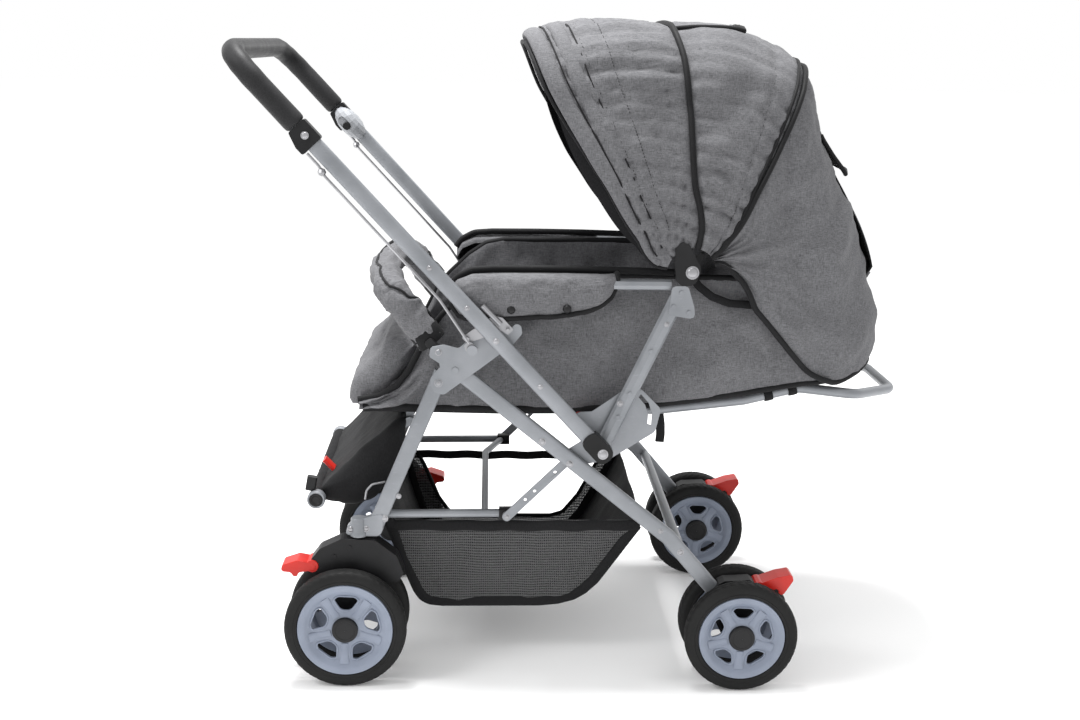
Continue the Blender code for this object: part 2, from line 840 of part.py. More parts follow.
# Casters: a yoke between each pair of front wheels, with its swivel lock
def make_caster(label, side, flip):
    """The black yoke of one caster. flip is -1 for the caster that stands turned half round."""
    y = side * FRONT_TRACK

    def spot(dx, z):
        """A point at this distance behind the swivel axis, for a caster that trails to the foot end."""
        return (CASTER_X + flip * dx, z)

    axle = spot(-CASTER_TRAIL, FRONT_WHEEL_R)
    swivel = pivot(f"caster_pivot_{label}", (CASTER_X, y, CASTER_TOP), fold_pivot)
    yoke = plate(
        f"caster_yoke_{label}",
        rounded(
            [
                spot(-0.033, 0.080),
                spot(-0.005, 0.080),
                spot(0.021, 0.154),
                spot(0.073, 0.164),
                spot(0.059, 0.202),
                spot(0.027, 0.227),
                spot(-0.025, CASTER_TOP),
                spot(-0.059, 0.214),
                spot(-0.080, 0.186),
                spot(-0.049, 0.170),
            ],
            0.009,
            1,
        ),
        y,
        0.030,
        BLACK,
    )
    half = WHEEL_SPACING / 2 + WHEEL_WIDTH / 2 - 0.006
    boss = WHEEL_SPACING / 2 - WHEEL_WIDTH / 2 - GAP
    combine(
        yoke,
        [
            pin(f"front_axle_{label}", axle, y - half, y + half, AXLE_R, STEEL, 10),
            pin(f"front_axle_boss_{label}", axle, y - boss, y + boss, AXLE_BOSS_R, BLACK, 12),
            cylinder_up(f"stem_{label}", (CASTER_X, y), CASTER_TOP - 0.016, CASTER_TOP, STEM_R, BLACK),
        ]
        + [
            bolt(f"yoke_rivet_{i}_{label}", place, FRONT_TRACK, FRONT_TRACK + 0.0165, side)
            for i, place in enumerate((spot(-0.013, 0.216), spot(-0.037, 0.202)))
        ],
    )
    carry(swivel, yoke)
    make_wheel_pair("front", label, side, axle, FRONT_TRACK, FRONT_WHEEL_R, swivel)

    hinge = (-0.071, 0.186)
    lock_pivot = pivot(f"swivel_lock_pivot_{label}", at(spot(*hinge), y), swivel)
    lever = plate(
        f"swivel_lock_{label}",
        rounded(
            [
                spot(hinge[0] + dx, hinge[1] + dz)
                for dx, dz in (
                    (0.006, 0.004),
                    (0.004, -0.006),
                    (-0.020, -0.010),
                    (-0.026, -0.020),
                    (-0.033, -0.010),
                    (-0.048, -0.008),
                    (-0.046, 0.002),
                    (-0.022, 0.010),
                )
            ],
            0.003,
            1,
        ),
        y,
        2 * LEVER_HALF_WIDTH,
        RED,
    )
    half = LEVER_HALF_WIDTH - 0.0005
    combine(lever, [pin(f"swivel_lock_hub_{label}", spot(*hinge), y - half, y + half, LEVER_HUB_R, RED, 12)])
    half = LEVER_HALF_WIDTH + 0.003
    room = pin(f"swivel_lock_room_{label}", spot(*hinge), y - half, y + half, LEVER_HUB_R + 2 * GAP, RED, 12)
    cut(yoke, [room])
    carry(lock_pivot, lever)


for label, side in SIDES:
    make_caster(label, side, 1 if label == "near" else -1)

# Side braces, which join the front and rear legs and break at their middle joint to fold
brace_pivot = pivot("brace_pivot", at(BRACE_FRONT, 0), fold_pivot)
BRACE_END = (BRACE_JOINT[0] - 0.004, BRACE_JOINT[1])


def make_brace_frame():
    """The two side tubes with their end blocks, joined by the bent cross tube."""
    near = None
    extras = []
    for label, side in SIDES:
        y = side * BRACE_Y
        side_tube = tube(f"side_tube_{label}", [at(BRACE_FRONT, y), at(BRACE_END, y)], BRACE_R, SILVER, 3)
        end = block(
            f"brace_end_{label}",
            (BRACE_JOINT[0] - 0.012, y - 0.0085, BRACE_JOINT[1] - 0.009),
            (BRACE_JOINT[0] + 0.010, y + 0.0085, BRACE_JOINT[1] + 0.009),
            BLACK,
        )
        joint = bolt(f"brace_joint_{label}", BRACE_JOINT, BRACE_Y, BRACE_LINK_Y - 0.0015 - GAP, side, 0.0045)
        head = pin(f"brace_eye_{label}", BRACE_FRONT, y - BRACE_R, y + BRACE_R, 0.009, SILVER, 16)
        if near is None:
            near = side_tube
            near.name = "brace_frame"
        else:
            extras.append(side_tube)
        extras += [end, joint, head]
    cross_x = BRACE_JOINT[0] - 0.034
    cross = tube(
        "brace_cross_tube",
        round_path(
            [
                (cross_x, -BRACE_Y, BRACE_JOINT[1]),
                (cross_x, BRACE_Y - 0.085, BRACE_JOINT[1]),
                (BRACE_JOINT[0] - 0.004, BRACE_Y, BRACE_JOINT[1]),
            ],
            0.03,
        ),
        BRACE_R - 0.001,
        SILVER,
        2,
    )
    return combine(near, extras + [cross])


carry(brace_pivot, make_brace_frame())


def make_brace_link(label, side):
    """The punched flat link from the brace's middle joint up to the rear leg."""
    link_pivot = pivot(f"brace_link_pivot_{label}", at(BRACE_REAR, side * BRACE_LINK_Y), frame_root)
    start = offset_point(BRACE_JOINT, BRACE_REAR, -0.007)
    end = offset_point(BRACE_REAR, BRACE_JOINT, -0.007)
    way = (Vector(end) - Vector(start)).normalized() * 1.0
    across = Vector((-way.y, way.x)) * 0.007
    corners = [
        tuple(Vector(start) - across),
        tuple(Vector(end) - across),
        tuple(Vector(end) + across),
        tuple(Vector(start) + across),
    ]
    outline = rounded(corners[::-1], 0.0065, 3)
    link = plate(f"brace_link_{label}", outline, side * BRACE_LINK_Y, LINK_THICKNESS, SILVER)
    y_from, y_to = side * (BRACE_LINK_Y - 0.02), side * (BRACE_LINK_Y + 0.02)
    holes = [
        pin(f"link_hole_{i}_{label}", along(BRACE_JOINT, BRACE_REAR, share), y_from, y_to, 0.0025, SILVER, 8)
        for i, share in enumerate((0.30, 0.45, 0.78))
    ]
    cut(link, holes)
    carry(link_pivot, link)


for label, side in SIDES:
    make_brace_link(label, side)

# Handle: one flat-oval tube bent to a U, which swings to the foot or the head end
handle_pivot = pivot("handle_pivot", at(HANDLE_PIVOT, 0), frame_root)
HANDLE_ANGLE = math.radians(132.8)
HANDLE_WAY = Vector((math.cos(HANDLE_ANGLE), 0, math.sin(HANDLE_ANGLE)))
HANDLE_NORMAL = Vector((-HANDLE_WAY.z, 0, HANDLE_WAY.x))
HANDLE_BASE = at(HANDLE_PIVOT, 0)


def handle_point(distance, y, lift=0.0):
    """A point at this distance up the handle. lift is measured towards the foot end and the floor."""
    return HANDLE_BASE + HANDLE_WAY * distance + HANDLE_NORMAL * lift + Vector((0, y, 0))


def handle_u(name, start, radius, width, finish, resolution):
    """A stretch of the handle's U, from this distance up one arm to the same place on the other."""
    path = round_path(
        [
            handle_point(start, -HANDLE_Y),
            handle_point(HANDLE_LENGTH, -HANDLE_Y),
            handle_point(HANDLE_LENGTH, HANDLE_Y),
            handle_point(start, HANDLE_Y),
        ],
        HANDLE_CORNER_R,
        4,
    )
    flatten = (HANDLE_BASE, HANDLE_NORMAL, width / (2 * radius))
    return tube(name, path, radius, finish, resolution, flatten=flatten)


PIVOT_BLOCK_LENGTH = 0.036
handle_tube = handle_u("handle_tube", PIVOT_BLOCK_LENGTH - 0.008, HANDLE_DEPTH / 2, HANDLE_WIDTH, SILVER, 2)
GRIP_START = HANDLE_LENGTH - GRIP_LENGTH
grip = handle_u(
    "handle_grip", GRIP_START, HANDLE_DEPTH / 2 + GRIP_EXTRA + 0.004, HANDLE_WIDTH + 2 * GRIP_EXTRA, FOAM, 2
)
bore = handle_u("grip_bore", GRIP_START - 0.02, HANDLE_DEPTH / 2 + GAP, HANDLE_WIDTH + 2 * GAP, FOAM, 2)
cut(grip, [bore])
carry(handle_pivot, handle_tube, grip)


def make_pivot_block(label, side):
    """The black end piece that holds the handle's foot and turns on the frame's pin."""
    foot = HANDLE_PIVOT
    up = (foot[0] + HANDLE_WAY.x, foot[1] + HANDLE_WAY.z)
    corners = [
        offset_point(foot, up, -0.014, -0.015),
        offset_point(foot, up, PIVOT_BLOCK_LENGTH, -0.015),
        offset_point(foot, up, PIVOT_BLOCK_LENGTH, 0.015),
        offset_point(foot, up, -0.014, 0.015),
    ]
    piece = plate(f"pivot_block_{label}", rounded(corners[::-1], 0.012, 3), side * HANDLE_Y, 0.019, BLACK)
    start = PIVOT_BLOCK_LENGTH - 0.008 - GAP
    room = handle_u(f"foot_socket_{label}", start, HANDLE_DEPTH / 2 + GAP, HANDLE_WIDTH + 2 * GAP, BLACK, 2)
    cut(piece, [room])
    combine(
        piece,
        [
            bolt(f"pivot_rivet_{label}", foot, HANDLE_Y, HANDLE_Y + 0.012, side, 0.0045),
            bolt(f"pivot_pin_{label}", foot, REAR_LEG_Y + LEG_DEPTH / 2 + GAP, HANDLE_Y, side, 0.006),
        ],
    )
    carry(handle_pivot, piece)


LATCH_AT = GRIP_START - LATCH_LENGTH
ROD_LIFT = HANDLE_WIDTH / 2 + 0.0045
STUD_OFFSET = Vector((HANDLE_STUD[0] - HANDLE_PIVOT[0], HANDLE_STUD[1] - HANDLE_PIVOT[1]))
STUD_AT = STUD_OFFSET.dot(Vector((HANDLE_WAY.x, HANDLE_WAY.z)))
STUD_LIFT = STUD_OFFSET.dot(Vector((HANDLE_NORMAL.x, HANDLE_NORMAL.z)))
release_pivot = pivot("release_slide", handle_point(LATCH_AT, 0), handle_pivot)


def handle_plate(name, spots, y, thickness, radius, finish):
    """A flat piece beside the handle, its corners given as (distance up the handle, lift)."""
    points = [handle_point(distance, 0, lift) for distance, lift in spots]
    return plate(name, rounded([(p.x, p.z) for p in points], radius, 2), y, thickness, finish)


NOTCH_OFFSET = Vector((LATCH_NOTCH[0] - HANDLE_PIVOT[0], LATCH_NOTCH[1] - HANDLE_PIVOT[1]))
NOTCH_AT = NOTCH_OFFSET.dot(Vector((HANDLE_WAY.x, HANDLE_WAY.z)))
NOTCH_LIFT = NOTCH_OFFSET.dot(Vector((HANDLE_NORMAL.x, HANDLE_NORMAL.z)))
SLIDER_Y = HANDLE_Y - HANDLE_DEPTH / 2 - 0.0017


def make_lock_rod(label, side):
    """The rod that works the lock: a fork over the stud, and a plate behind the tube that
    carries the latch pin with its spring barrel."""
    y = side * HANDLE_Y
    rod = tube(
        f"lock_rod_{label}",
        round_path(
            [
                handle_point(LATCH_AT - 0.012, y, ROD_LIFT),
                handle_point(LATCH_AT - 0.036, y, ROD_LIFT),
                handle_point(LATCH_AT - 0.052, y, ROD_LIFT + 0.004),
                handle_point(STUD_AT + ROD_BEND_OFFSET, y, ROD_LIFT + 0.005),
                handle_point(STUD_AT + 0.009, y, STUD_LIFT - 0.003),
            ],
            0.02,
        ),
        ROD_R,
        STEEL,
        1,
    )
    fork = handle_plate(
        f"stud_fork_{label}",
        [
            (STUD_AT + along_rod, STUD_LIFT + lift)
            for along_rod, lift in (
                (0.013, -0.004),
                (0.013, 0.004),
                (0.007, 0.0076),
                (-0.006, 0.0076),
                (-0.006, 0.0047),
                (0.0050, 0.0047),
                (0.0050, -0.0047),
                (-0.006, -0.0047),
                (-0.006, -0.0076),
                (0.007, -0.0076),
            )
        ],
        y,
        0.0030,
        0.001,
        STEEL,
    )
    slider = handle_plate(
        f"latch_slider_{label}",
        [
            (NOTCH_AT - 0.006, NOTCH_LIFT - 0.006),
            (NOTCH_AT + 0.018, NOTCH_LIFT - 0.006),
            (NOTCH_AT + 0.030, NOTCH_LIFT + 0.002),
            (NOTCH_AT + 0.037, 0.0372),
            (NOTCH_AT + 0.025, 0.0372),
            (NOTCH_AT + 0.004, NOTCH_LIFT + 0.008),
            (NOTCH_AT - 0.006, NOTCH_LIFT + 0.006),
        ],
        side * SLIDER_Y,
        0.0022,
        0.002,
        STEEL,
    )
    tab_place = handle_point(NOTCH_AT + 0.0305, 0, 0.0318)
    tab_at = (tab_place.x, tab_place.z)
    tab_from, tab_to = side * (SLIDER_Y - 0.0006), side * (HANDLE_Y + 0.0012)
    tab = pin(f"slider_tab_{label}", tab_at, tab_from, tab_to, 0.0031, STEEL, 10)
    pin_from, pin_to = side * (COVER_OUTER + GAP), side * (SLIDER_Y + 0.0090)
    latch_pin = pin(f"latch_pin_{label}", LATCH_NOTCH, pin_from, pin_to, LATCH_PIN_R, BLACK, 10)
    barrel = tube(
        f"spring_barrel_{label}",
        [
            handle_point(NOTCH_AT + 0.013, side * (HANDLE_Y - 0.0045), NOTCH_LIFT + 0.0025),
            handle_point(NOTCH_AT + 0.052, side * (HANDLE_Y - 0.0045), NOTCH_LIFT + 0.0035),
        ],
        0.0042,
        STEEL,
        2,
    )
    combine(rod, [fork, slider, tab, latch_pin, barrel, block_on_rod(label, y)])
    carry(release_pivot, rod)


def block_on_rod(label, y):
    bpy.ops.mesh.primitive_uv_sphere_add(
        segments=8, ring_count=4, radius=0.0062, location=handle_point(LATCH_AT - 0.045, y, ROD_LIFT + 0.003)
    )
    obj = bpy.context.object
    obj.name = f"rod_knob_{label}"
    bpy.ops.object.transform_apply(location=True, rotation=True, scale=True)
    return put(obj, BLACK)


for label, side in SIDES:
    make_pivot_block(label, side)
    make_lock_rod(label, side)


def make_latch_box(label, side):
    """The black bracket under the grip that guides the top of the lock rod."""
    y = side * HANDLE_Y
    piece = handle_plate(
        f"latch_box_{label}",
        [
            (LATCH_AT - 0.010, -HANDLE_WIDTH / 2 - 0.003),
            (GRIP_START - GAP * 2, -HANDLE_WIDTH / 2 - 0.003),
            (GRIP_START - GAP * 2, HANDLE_WIDTH / 2 + 0.003),
            (LATCH_AT + 0.004, HANDLE_WIDTH / 2 + 0.010),
            (LATCH_AT - 0.010, HANDLE_WIDTH / 2 + 0.010),
        ][::-1],
        y,
        HANDLE_DEPTH + 0.006,
        0.003,
        BLACK,
    )
    start = STUD_AT + ROD_BEND_OFFSET
    room = handle_u(f"latch_bore_{label}", start, HANDLE_DEPTH / 2 + GAP, HANDLE_WIDTH + 2 * GAP, BLACK, 2)
    guide = tube(
        f"rod_guide_{label}",
        [handle_point(LATCH_AT - 0.04, y, ROD_LIFT), handle_point(LATCH_AT - 0.001, y, ROD_LIFT)],
        ROD_R + 2 * GAP,
        BLACK,
        1,
    )
    cut(piece, [room, guide])
    place = handle_point(LATCH_AT + 0.004, 0)
    face = HANDLE_Y + HANDLE_DEPTH / 2
    rivet = bolt(f"latch_rivet_{label}", (place.x, place.z), face + 0.001, face + 0.0045, side)
    combine(piece, [rivet])
    carry(handle_pivot, piece)


for label, side in SIDES:
    make_latch_box(label, side)


RELEASE_AT = LATCH_AT - RELEASE_OFFSET
RELEASE_INNER_Y = HANDLE_Y - HANDLE_DEPTH / 2 - 0.0033


def make_release():
    """The white housing inside the far arm, and the sliding knob that works both lock rods."""
    middle = handle_point(RELEASE_AT, 0)
    bpy.ops.mesh.primitive_uv_sphere_add(segments=16, ring_count=8, radius=1, location=(0, 0, 0))
    dome = bpy.context.object
    dome.name = "release_housing"
    turn = Matrix.Rotation(-HANDLE_ANGLE, 4, "Y")
    size = Matrix.Diagonal((0.034, 0.022, 0.019, 1))
    dome.data.transform(Matrix.Translation((middle.x, RELEASE_INNER_Y, middle.z)) @ turn @ size)
    put(dome, WHITE)
    low = (middle.x - 0.1, RELEASE_INNER_Y, middle.z - 0.1)
    far_half = block("release_trim", low, (middle.x + 0.1, RELEASE_INNER_Y + 0.05, middle.z + 0.1), WHITE)
    slot_low, slot_high = RELEASE_AT - 0.0075, RELEASE_AT + 0.0195
    slot = handle_plate(
        "knob_slot",
        [(slot_low, -0.0015), (slot_high, -0.0015), (slot_high, 0.0135), (slot_low, 0.0135)],
        RELEASE_INNER_Y - 0.0235,
        0.022,
        0.007,
        WHITE,
    )
    cut(dome, [far_half, slot])
    place = handle_point(RELEASE_AT, 0, 0.006)
    knob_from, knob_to = RELEASE_INNER_Y - 0.0265, RELEASE_INNER_Y - 0.0130
    knob = pin("release_knob", (place.x, place.z), knob_from, knob_to, RELEASE_KNOB_R, BLACK, 16)
    carry(handle_pivot, dome)
    carry(release_pivot, knob)


make_release()

# Recline: the backrest's U tube and panel turn on the recline plates
recline_pivot = pivot("recline_pivot", at(RECLINE_PIVOT, 0), frame_root)
RECLINE_PATH = (
    (RECLINE_PIVOT[0] - 0.004, RECLINE_Y, RECLINE_PIVOT[1]),
    (RECLINE_PIVOT[0] + 0.060, RECLINE_Y, RECLINE_PIVOT[1] - 0.001),
    (0.251, RECLINE_Y, 0.4375),
    (0.335, RECLINE_Y, 0.4580),
    (0.430, RECLINE_Y - 0.010, 0.4450),
    (0.512, RECLINE_Y - 0.100, 0.4320),
)
far_half = [Vector(p) for p in RECLINE_PATH]
near_half = [Vector((p.x, -p.y, p.z)) for p in far_half]
recline_tube = tube(
    "recline_tube", round_path(near_half + far_half[::-1], 0.05, 2), ROUND_TUBE_R, SILVER, 1
)
combine(
    recline_tube,
    [
        bolt(f"slot_bolt_{label}", (RECLINE_PIVOT[0] + SLOT_R, RECLINE_PIVOT[1]), RECLINE_Y,
             INNER_PLATE_Y + PLATE_THICKNESS / 2 + 0.002, side, 0.0022)
        for label, side in SIDES
    ],
)
carry(recline_pivot, recline_tube)

# Gondola: the padded tub, open at the top. Its head end has the backrest panel as a floor
def tub_side_outline():
    """The seat part of the tub in side view, from the seam round the foot end."""
    hem = FLOOR_Z + 0.001
    return [(GONDOLA_SEAM_X, RIM_Z), (TUB_RIM_FOOT_X, RIM_Z), *TUB_FOOT_END, (GONDOLA_SEAM_X, hem)]


def upright_prism(name, outline, low, high):
    """A solid of this (x, y) outline between two heights."""
    curve = bpy.data.curves.new(name, "CURVE")
    curve.dimensions = "2D"
    curve.fill_mode = "BOTH"
    curve.extrude = (high - low) / 2
    spline = curve.splines.new("POLY")
    spline.points.add(len(outline) - 1)
    for point, (x, y) in zip(spline.points, outline):
        point.co = (x, y, 0, 1)
    spline.use_cyclic_u = True
    obj = bpy.data.objects.new(name, curve)
    obj.location = (0, 0, (low + high) / 2)
    PARTS.objects.link(obj)
    return as_mesh(obj, GREY_CLOTH)


def tub_plan(start_x, inset):
    """The head end of the tub in plan, with rounded corners, drawn in by inset."""
    half = GONDOLA_HALF_WIDTH - inset
    end = GONDOLA_HEAD_X - inset
    radius = GONDOLA_CORNER_R - inset
    points = [(start_x, -half)]
    for i in range(6):
        turn = math.radians(-90 + 90 * i / 5)
        points.append((end - radius + radius * math.cos(turn), -half + radius + radius * math.sin(turn)))
    return points + [(x, -y) for x, y in reversed(points)]


tub = plate("gondola_tub", tub_side_outline()[::-1], 0, 2 * GONDOLA_HALF_WIDTH, GREY_CLOTH)
inner_half = GONDOLA_HALF_WIDTH - GONDOLA_WALL
ABOVE_TUB_Z = ARMREST_Z + 0.17
UNDER_TUB_Z = FLOOR_Z - 0.07
hollow = plate(
    "tub_hollow",
    [
        (GONDOLA_SEAM_X + 0.05, FLOOR_Z + FLOOR_THICKNESS),
        (GONDOLA_SEAM_X + 0.05, ABOVE_TUB_Z),
        (TUB_INNER_FOOT_X, ABOVE_TUB_Z),
        (TUB_INNER_FOOT_X, FLOOR_Z + FLOOR_THICKNESS),
    ],
    0,
    2 * inner_half,
    GREY_CLOTH,
)
underside = block(
    "tub_underside",
    (TUB_FOOT_END[7][0] + 0.010, -inner_half, UNDER_TUB_Z),
    (GONDOLA_SEAM_X + 0.05, inner_half, FLOOR_Z),
    GREY_CLOTH,
)
floor_end = block(
    "tub_floor_end",
    (TUB_FLOOR_END_X, -inner_half, UNDER_TUB_Z),
    (GONDOLA_SEAM_X + 0.05, inner_half, ABOVE_TUB_Z),
    GREY_CLOTH,
)
cut(tub, [hollow, underside, floor_end])


def make_armrest_cover(label, side):
    """The padded flap that wraps the armrest, with the room for the tube inside it."""
    outline = rounded(
        [
            (-0.128, ARMREST_Z + 0.012),
            (GONDOLA_SEAM_X - 0.002, ARMREST_Z + 0.014),
            (GONDOLA_SEAM_X - 0.002, ARMREST_Z - 0.020),
            (0.045, ARMREST_Z - 0.048),
            (-0.115, ARMREST_Z - 0.052),
            (-0.140, ARMREST_Z - 0.022),
        ][::-1],
        0.014,
        3,
    )
    cover_inner = inner_half + 0.002
    middle = (COVER_OUTER + cover_inner) / 2
    cover = plate(f"armrest_cover_{label}", outline, side * middle, COVER_OUTER - cover_inner, GREY_CLOTH)
    room = ROUND_TUBE_R + GAP
    channel = block(
        f"armrest_channel_{label}",
        (-0.20, side * ARMREST_Y - room, ARMREST_Z - 0.10),
        (GONDOLA_SEAM_X + 0.02, side * ARMREST_Y + room, ARMREST_Z + room),
        GREY_CLOTH,
    )
    combine(tub, [cover])
    cut(tub, [channel])


for label, side in SIDES:
    make_armrest_cover(label, side)
carry(frame_root, tub)

head_start = GONDOLA_SEAM_X + GAP / 2
head = plate(
    "gondola_head",
    [(head_start, FLOOR_Z + 0.001), *HEAD_UNDERSIDE, *HEAD_RIM, (head_start, RIM_Z)],
    0,
    4 * GONDOLA_HALF_WIDTH,
    GREY_CLOTH,
)
outside = upright_prism("head_plan", tub_plan(GONDOLA_SEAM_X + GAP, 0.0), UNDER_TUB_Z, ABOVE_TUB_Z)
combine(head, [outside], "INTERSECT")
head_room = tub_plan(GONDOLA_SEAM_X - 0.05, GONDOLA_WALL)
cut(head, [upright_prism("head_room", head_room, UNDER_TUB_Z - 0.05, ABOVE_TUB_Z + 0.05)])
carry(frame_root, head)

backrest = plate("backrest_panel", rounded(BACKREST_SIDE, 0.006, 2), 0, 4 * GONDOLA_HALF_WIDTH, GREY_CLOTH)
panel_plan = tub_plan(BACKREST_SIDE[0][0] - 0.02, GONDOLA_WALL + 2 * GAP)
combine(backrest, [upright_prism("backrest_plan", panel_plan, UNDER_TUB_Z, ABOVE_TUB_Z)], "INTERSECT")
carry(recline_pivot, backrest)

PAD_BOTTOM = FLOOR_Z + FLOOR_THICKNESS + GAP
seat_pad = block(
    "seat_pad",
    (TUB_INNER_FOOT_X + 0.004, -inner_half + 0.002, PAD_BOTTOM),
    (TUB_FLOOR_END_X - 0.006, inner_half - 0.002, PAD_BOTTOM + SEAT_PAD_THICKNESS),
    GREY_CLOTH,
    SEAT_PAD_EDGE,
)
carry(frame_root, seat_pad)

SEAT_RAIL_Y = 0.170
FOOTREST_ARM_Y = 0.158
HANGER_Y = FOOTREST_ARM_Y - 0.0050 - 0.0015 - GAP
HANGER_PIN_END = FOOTREST_ARM_Y + 0.0050
RAIL_END = (0.036, 0.4050)
RAIL_KNEE = (0.010, 0.4215)
RAIL_R = 0.006
seat_rail = tube(
    "seat_rail",
    round_path(
        [
            at(RAIL_END, -SEAT_RAIL_Y),
            at(RAIL_KNEE, -SEAT_RAIL_Y),
            (FOOTREST_PIVOT[0], -SEAT_RAIL_Y, RAIL_KNEE[1]),
            (FOOTREST_PIVOT[0], SEAT_RAIL_Y, RAIL_KNEE[1]),
            at(RAIL_KNEE, SEAT_RAIL_Y),
            at(RAIL_END, SEAT_RAIL_Y),
        ],
        0.03,
    ),
    RAIL_R,
    SILVER,
    2,
)
rail_pin_at = along(RAIL_END, RAIL_KNEE, 0.15)
combine(
    seat_rail,
    [
        bolt(f"rail_pin_{label}", rail_pin_at, SEAT_RAIL_Y, INNER_PLATE_Y - 0.0015 - GAP, side, 0.0040)
        for label, side in SIDES
    ]
    + [
        block(
            f"footrest_hanger_{label}",
            (FOOTREST_PIVOT[0] - 0.006, side * HANGER_Y - 0.0015, FOOTREST_PIVOT[1] - 0.006),
            (FOOTREST_PIVOT[0] + 0.006, side * HANGER_Y + 0.0015, RAIL_KNEE[1] - 0.0015),
            SILVER,
        )
        for label, side in SIDES
    ]
    + [
        pin(f"hanger_pin_{label}", FOOTREST_PIVOT, y * HANGER_Y, y * HANGER_PIN_END, 0.0028, SILVER, 10)
        for label, y in SIDES
    ],
)
carry(frame_root, seat_rail)

# Canopy: three bows on the hubs, and the fabric between them
CANOPY_SECTIONS = (
    (126.0, 0.412),
    (110.0, 0.374),
    (94.0, 0.352),
    (76.0, 0.350),
    (57.0, 0.342),
    (37.0, 0.290),
    (16.0, 0.294),
    (-8.0, 0.308),
    (-27.0, 0.345),
    (-36.0, 0.345),
)
FRONT_BOW = 126.0
MID_BOW = 94.0
REAR_BOW = 57.0
HUB_Y = 0.2440


def canopy_reach(angle):
    """How far the canopy reaches from its hub at this angle, between the sections above."""
    for (a, reach_a), (b, reach_b) in zip(CANOPY_SECTIONS, CANOPY_SECTIONS[1:]):
        if b <= angle <= a:
            return reach_a + (reach_b - reach_a) * (a - angle) / (a - b)
    return CANOPY_SECTIONS[-1][1]


def canopy_half_width(share):
    """The canopy's half width at this share of the way from hub to crown."""
    return CANOPY_HALF_WIDTH - 0.030 * share ** 2


def canopy_rib(angle, root, shrink=0.0, steps=3):
    """Points of one rib: up the near side from the hub, round the crown and down the far side."""
    turn = math.radians(angle)
    reach = canopy_reach(angle) - shrink
    corner = 0.11
    side_points = [(root, canopy_half_width(0) - shrink)]
    side_points.append(((root + reach - corner) / 2, canopy_half_width(0.4) - shrink))
    top = reach
    edge = canopy_half_width(1.0) - shrink
    for step in range(steps + 1):
        a = math.radians(90 * step / steps)
        side_points.append((top - corner + corner * math.sin(a), edge - corner + corner * math.cos(a)))
    near = [(r, -y) for r, y in side_points]
    far = [(r, y) for r, y in reversed(side_points)]
    return [
        Vector((CANOPY_PIVOT[0] + r * math.cos(turn), y, CANOPY_PIVOT[1] + r * math.sin(turn)))
        for r, y in near + far
    ]


def canopy_skin(name, angles, root, finish):
    """A curved sheet through these ribs, given its thickness inwards."""
    mesh = bpy.data.meshes.new(name)
    work = bmesh.new()
    rows = [[work.verts.new(p) for p in canopy_rib(a, root)] for a in angles]
    for row, following in zip(rows, rows[1:]):
        for i in range(len(row) - 1):
            work.faces.new((row[i], row[i + 1], following[i + 1], following[i]))
    bmesh.ops.recalc_face_normals(work, faces=work.faces)
    middle = work.faces[:][len(work.faces) // 2]
    if middle.normal.dot(middle.calc_center_median() - at(CANOPY_PIVOT, 0)) < 0:
        bmesh.ops.reverse_faces(work, faces=work.faces)
    work.to_mesh(mesh)
    work.free()
    skin = bpy.data.objects.new(name, mesh)
    PARTS.objects.link(skin)
    mesh.materials.append(finish)
    mesh.shade_smooth()
    wall = skin.modifiers.new("thickness", "SOLIDIFY")
    wall.thickness = CANOPY_THICKNESS
    wall.offset = -1
    wall.use_even_offset = True
    return skin


BOW_R = 0.0030
BOW_ROOT = 0.030
BOW_ARM_THICKNESS = 0.0022
HUB_PIN_R = 0.0050


def canopy_bow(name, angle, arm_y, seat, eyes=True):
    """One bow: a rod under the cloth, with a flat arm at each end that turns on the hub's pin."""
    path = canopy_rib(angle, BOW_ROOT, CANOPY_THICKNESS + BOW_R + seat)
    path[0].y, path[-1].y = -arm_y, arm_y
    bow = tube(name, path, BOW_R, STEEL, 1)
    turn = math.radians(angle)
    out = Vector((math.cos(turn), math.sin(turn)))
    across = Vector((-out.y, out.x))
    hub = Vector(CANOPY_PIVOT)
    corners = [
        tuple(hub - out * 0.009 - across * 0.009),
        tuple(hub + out * 0.006 - across * 0.009),
        tuple(hub + out * (BOW_ROOT + 0.004) - across * 0.0028),
        tuple(hub + out * (BOW_ROOT + 0.004) + across * 0.0028),
        tuple(hub + out * 0.006 + across * 0.009),
        tuple(hub - out * 0.009 + across * 0.009),
    ]
    for label, side in SIDES:
        outline = rounded(corners, 0.006, 1)
        arm = plate(f"{name}_arm_{label}", outline, side * arm_y, BOW_ARM_THICKNESS, STEEL)
        combine(bow, [arm])
        if eyes:
            hole_r = HUB_PIN_R + GAP
            hole = pin(f"{name}_eye_{label}", CANOPY_PIVOT, side * 0.210, side * 0.232, hole_r, STEEL, 12)
            cut(bow, [hole])
    return bow


def make_hub(label, side):
    """The black plate and boss on the armrest that the canopy's bows turn on."""
    hub = plate(
        f"canopy_hub_{label}",
        rounded(
            [
                (CANOPY_PIVOT[0] - 0.026, CANOPY_PIVOT[1] + 0.008),
                (CANOPY_PIVOT[0] - 0.022, HUB_BOTTOM),
                (CANOPY_PIVOT[0] + 0.004, HUB_BOTTOM),
                (CANOPY_PIVOT[0] + 0.014, CANOPY_PIVOT[1] + 0.004),
                (CANOPY_PIVOT[0] - 0.008, CANOPY_PIVOT[1] + 0.046),
                (CANOPY_PIVOT[0] - 0.026, CANOPY_PIVOT[1] + 0.042),
            ],
            0.008,
            1,
        ),
        side * HUB_Y,
        0.008,
        BLACK,
    )
    combine(
        hub,
        [
            bolt(f"hub_rivet_{label}", CANOPY_PIVOT, HUB_Y, HUB_Y + 0.0065, side, 0.0045),
            pin(f"hub_pin_{label}", CANOPY_PIVOT, side * 0.2155, side * HUB_Y, HUB_PIN_R, STEEL, 12),
        ],
    )
    return hub


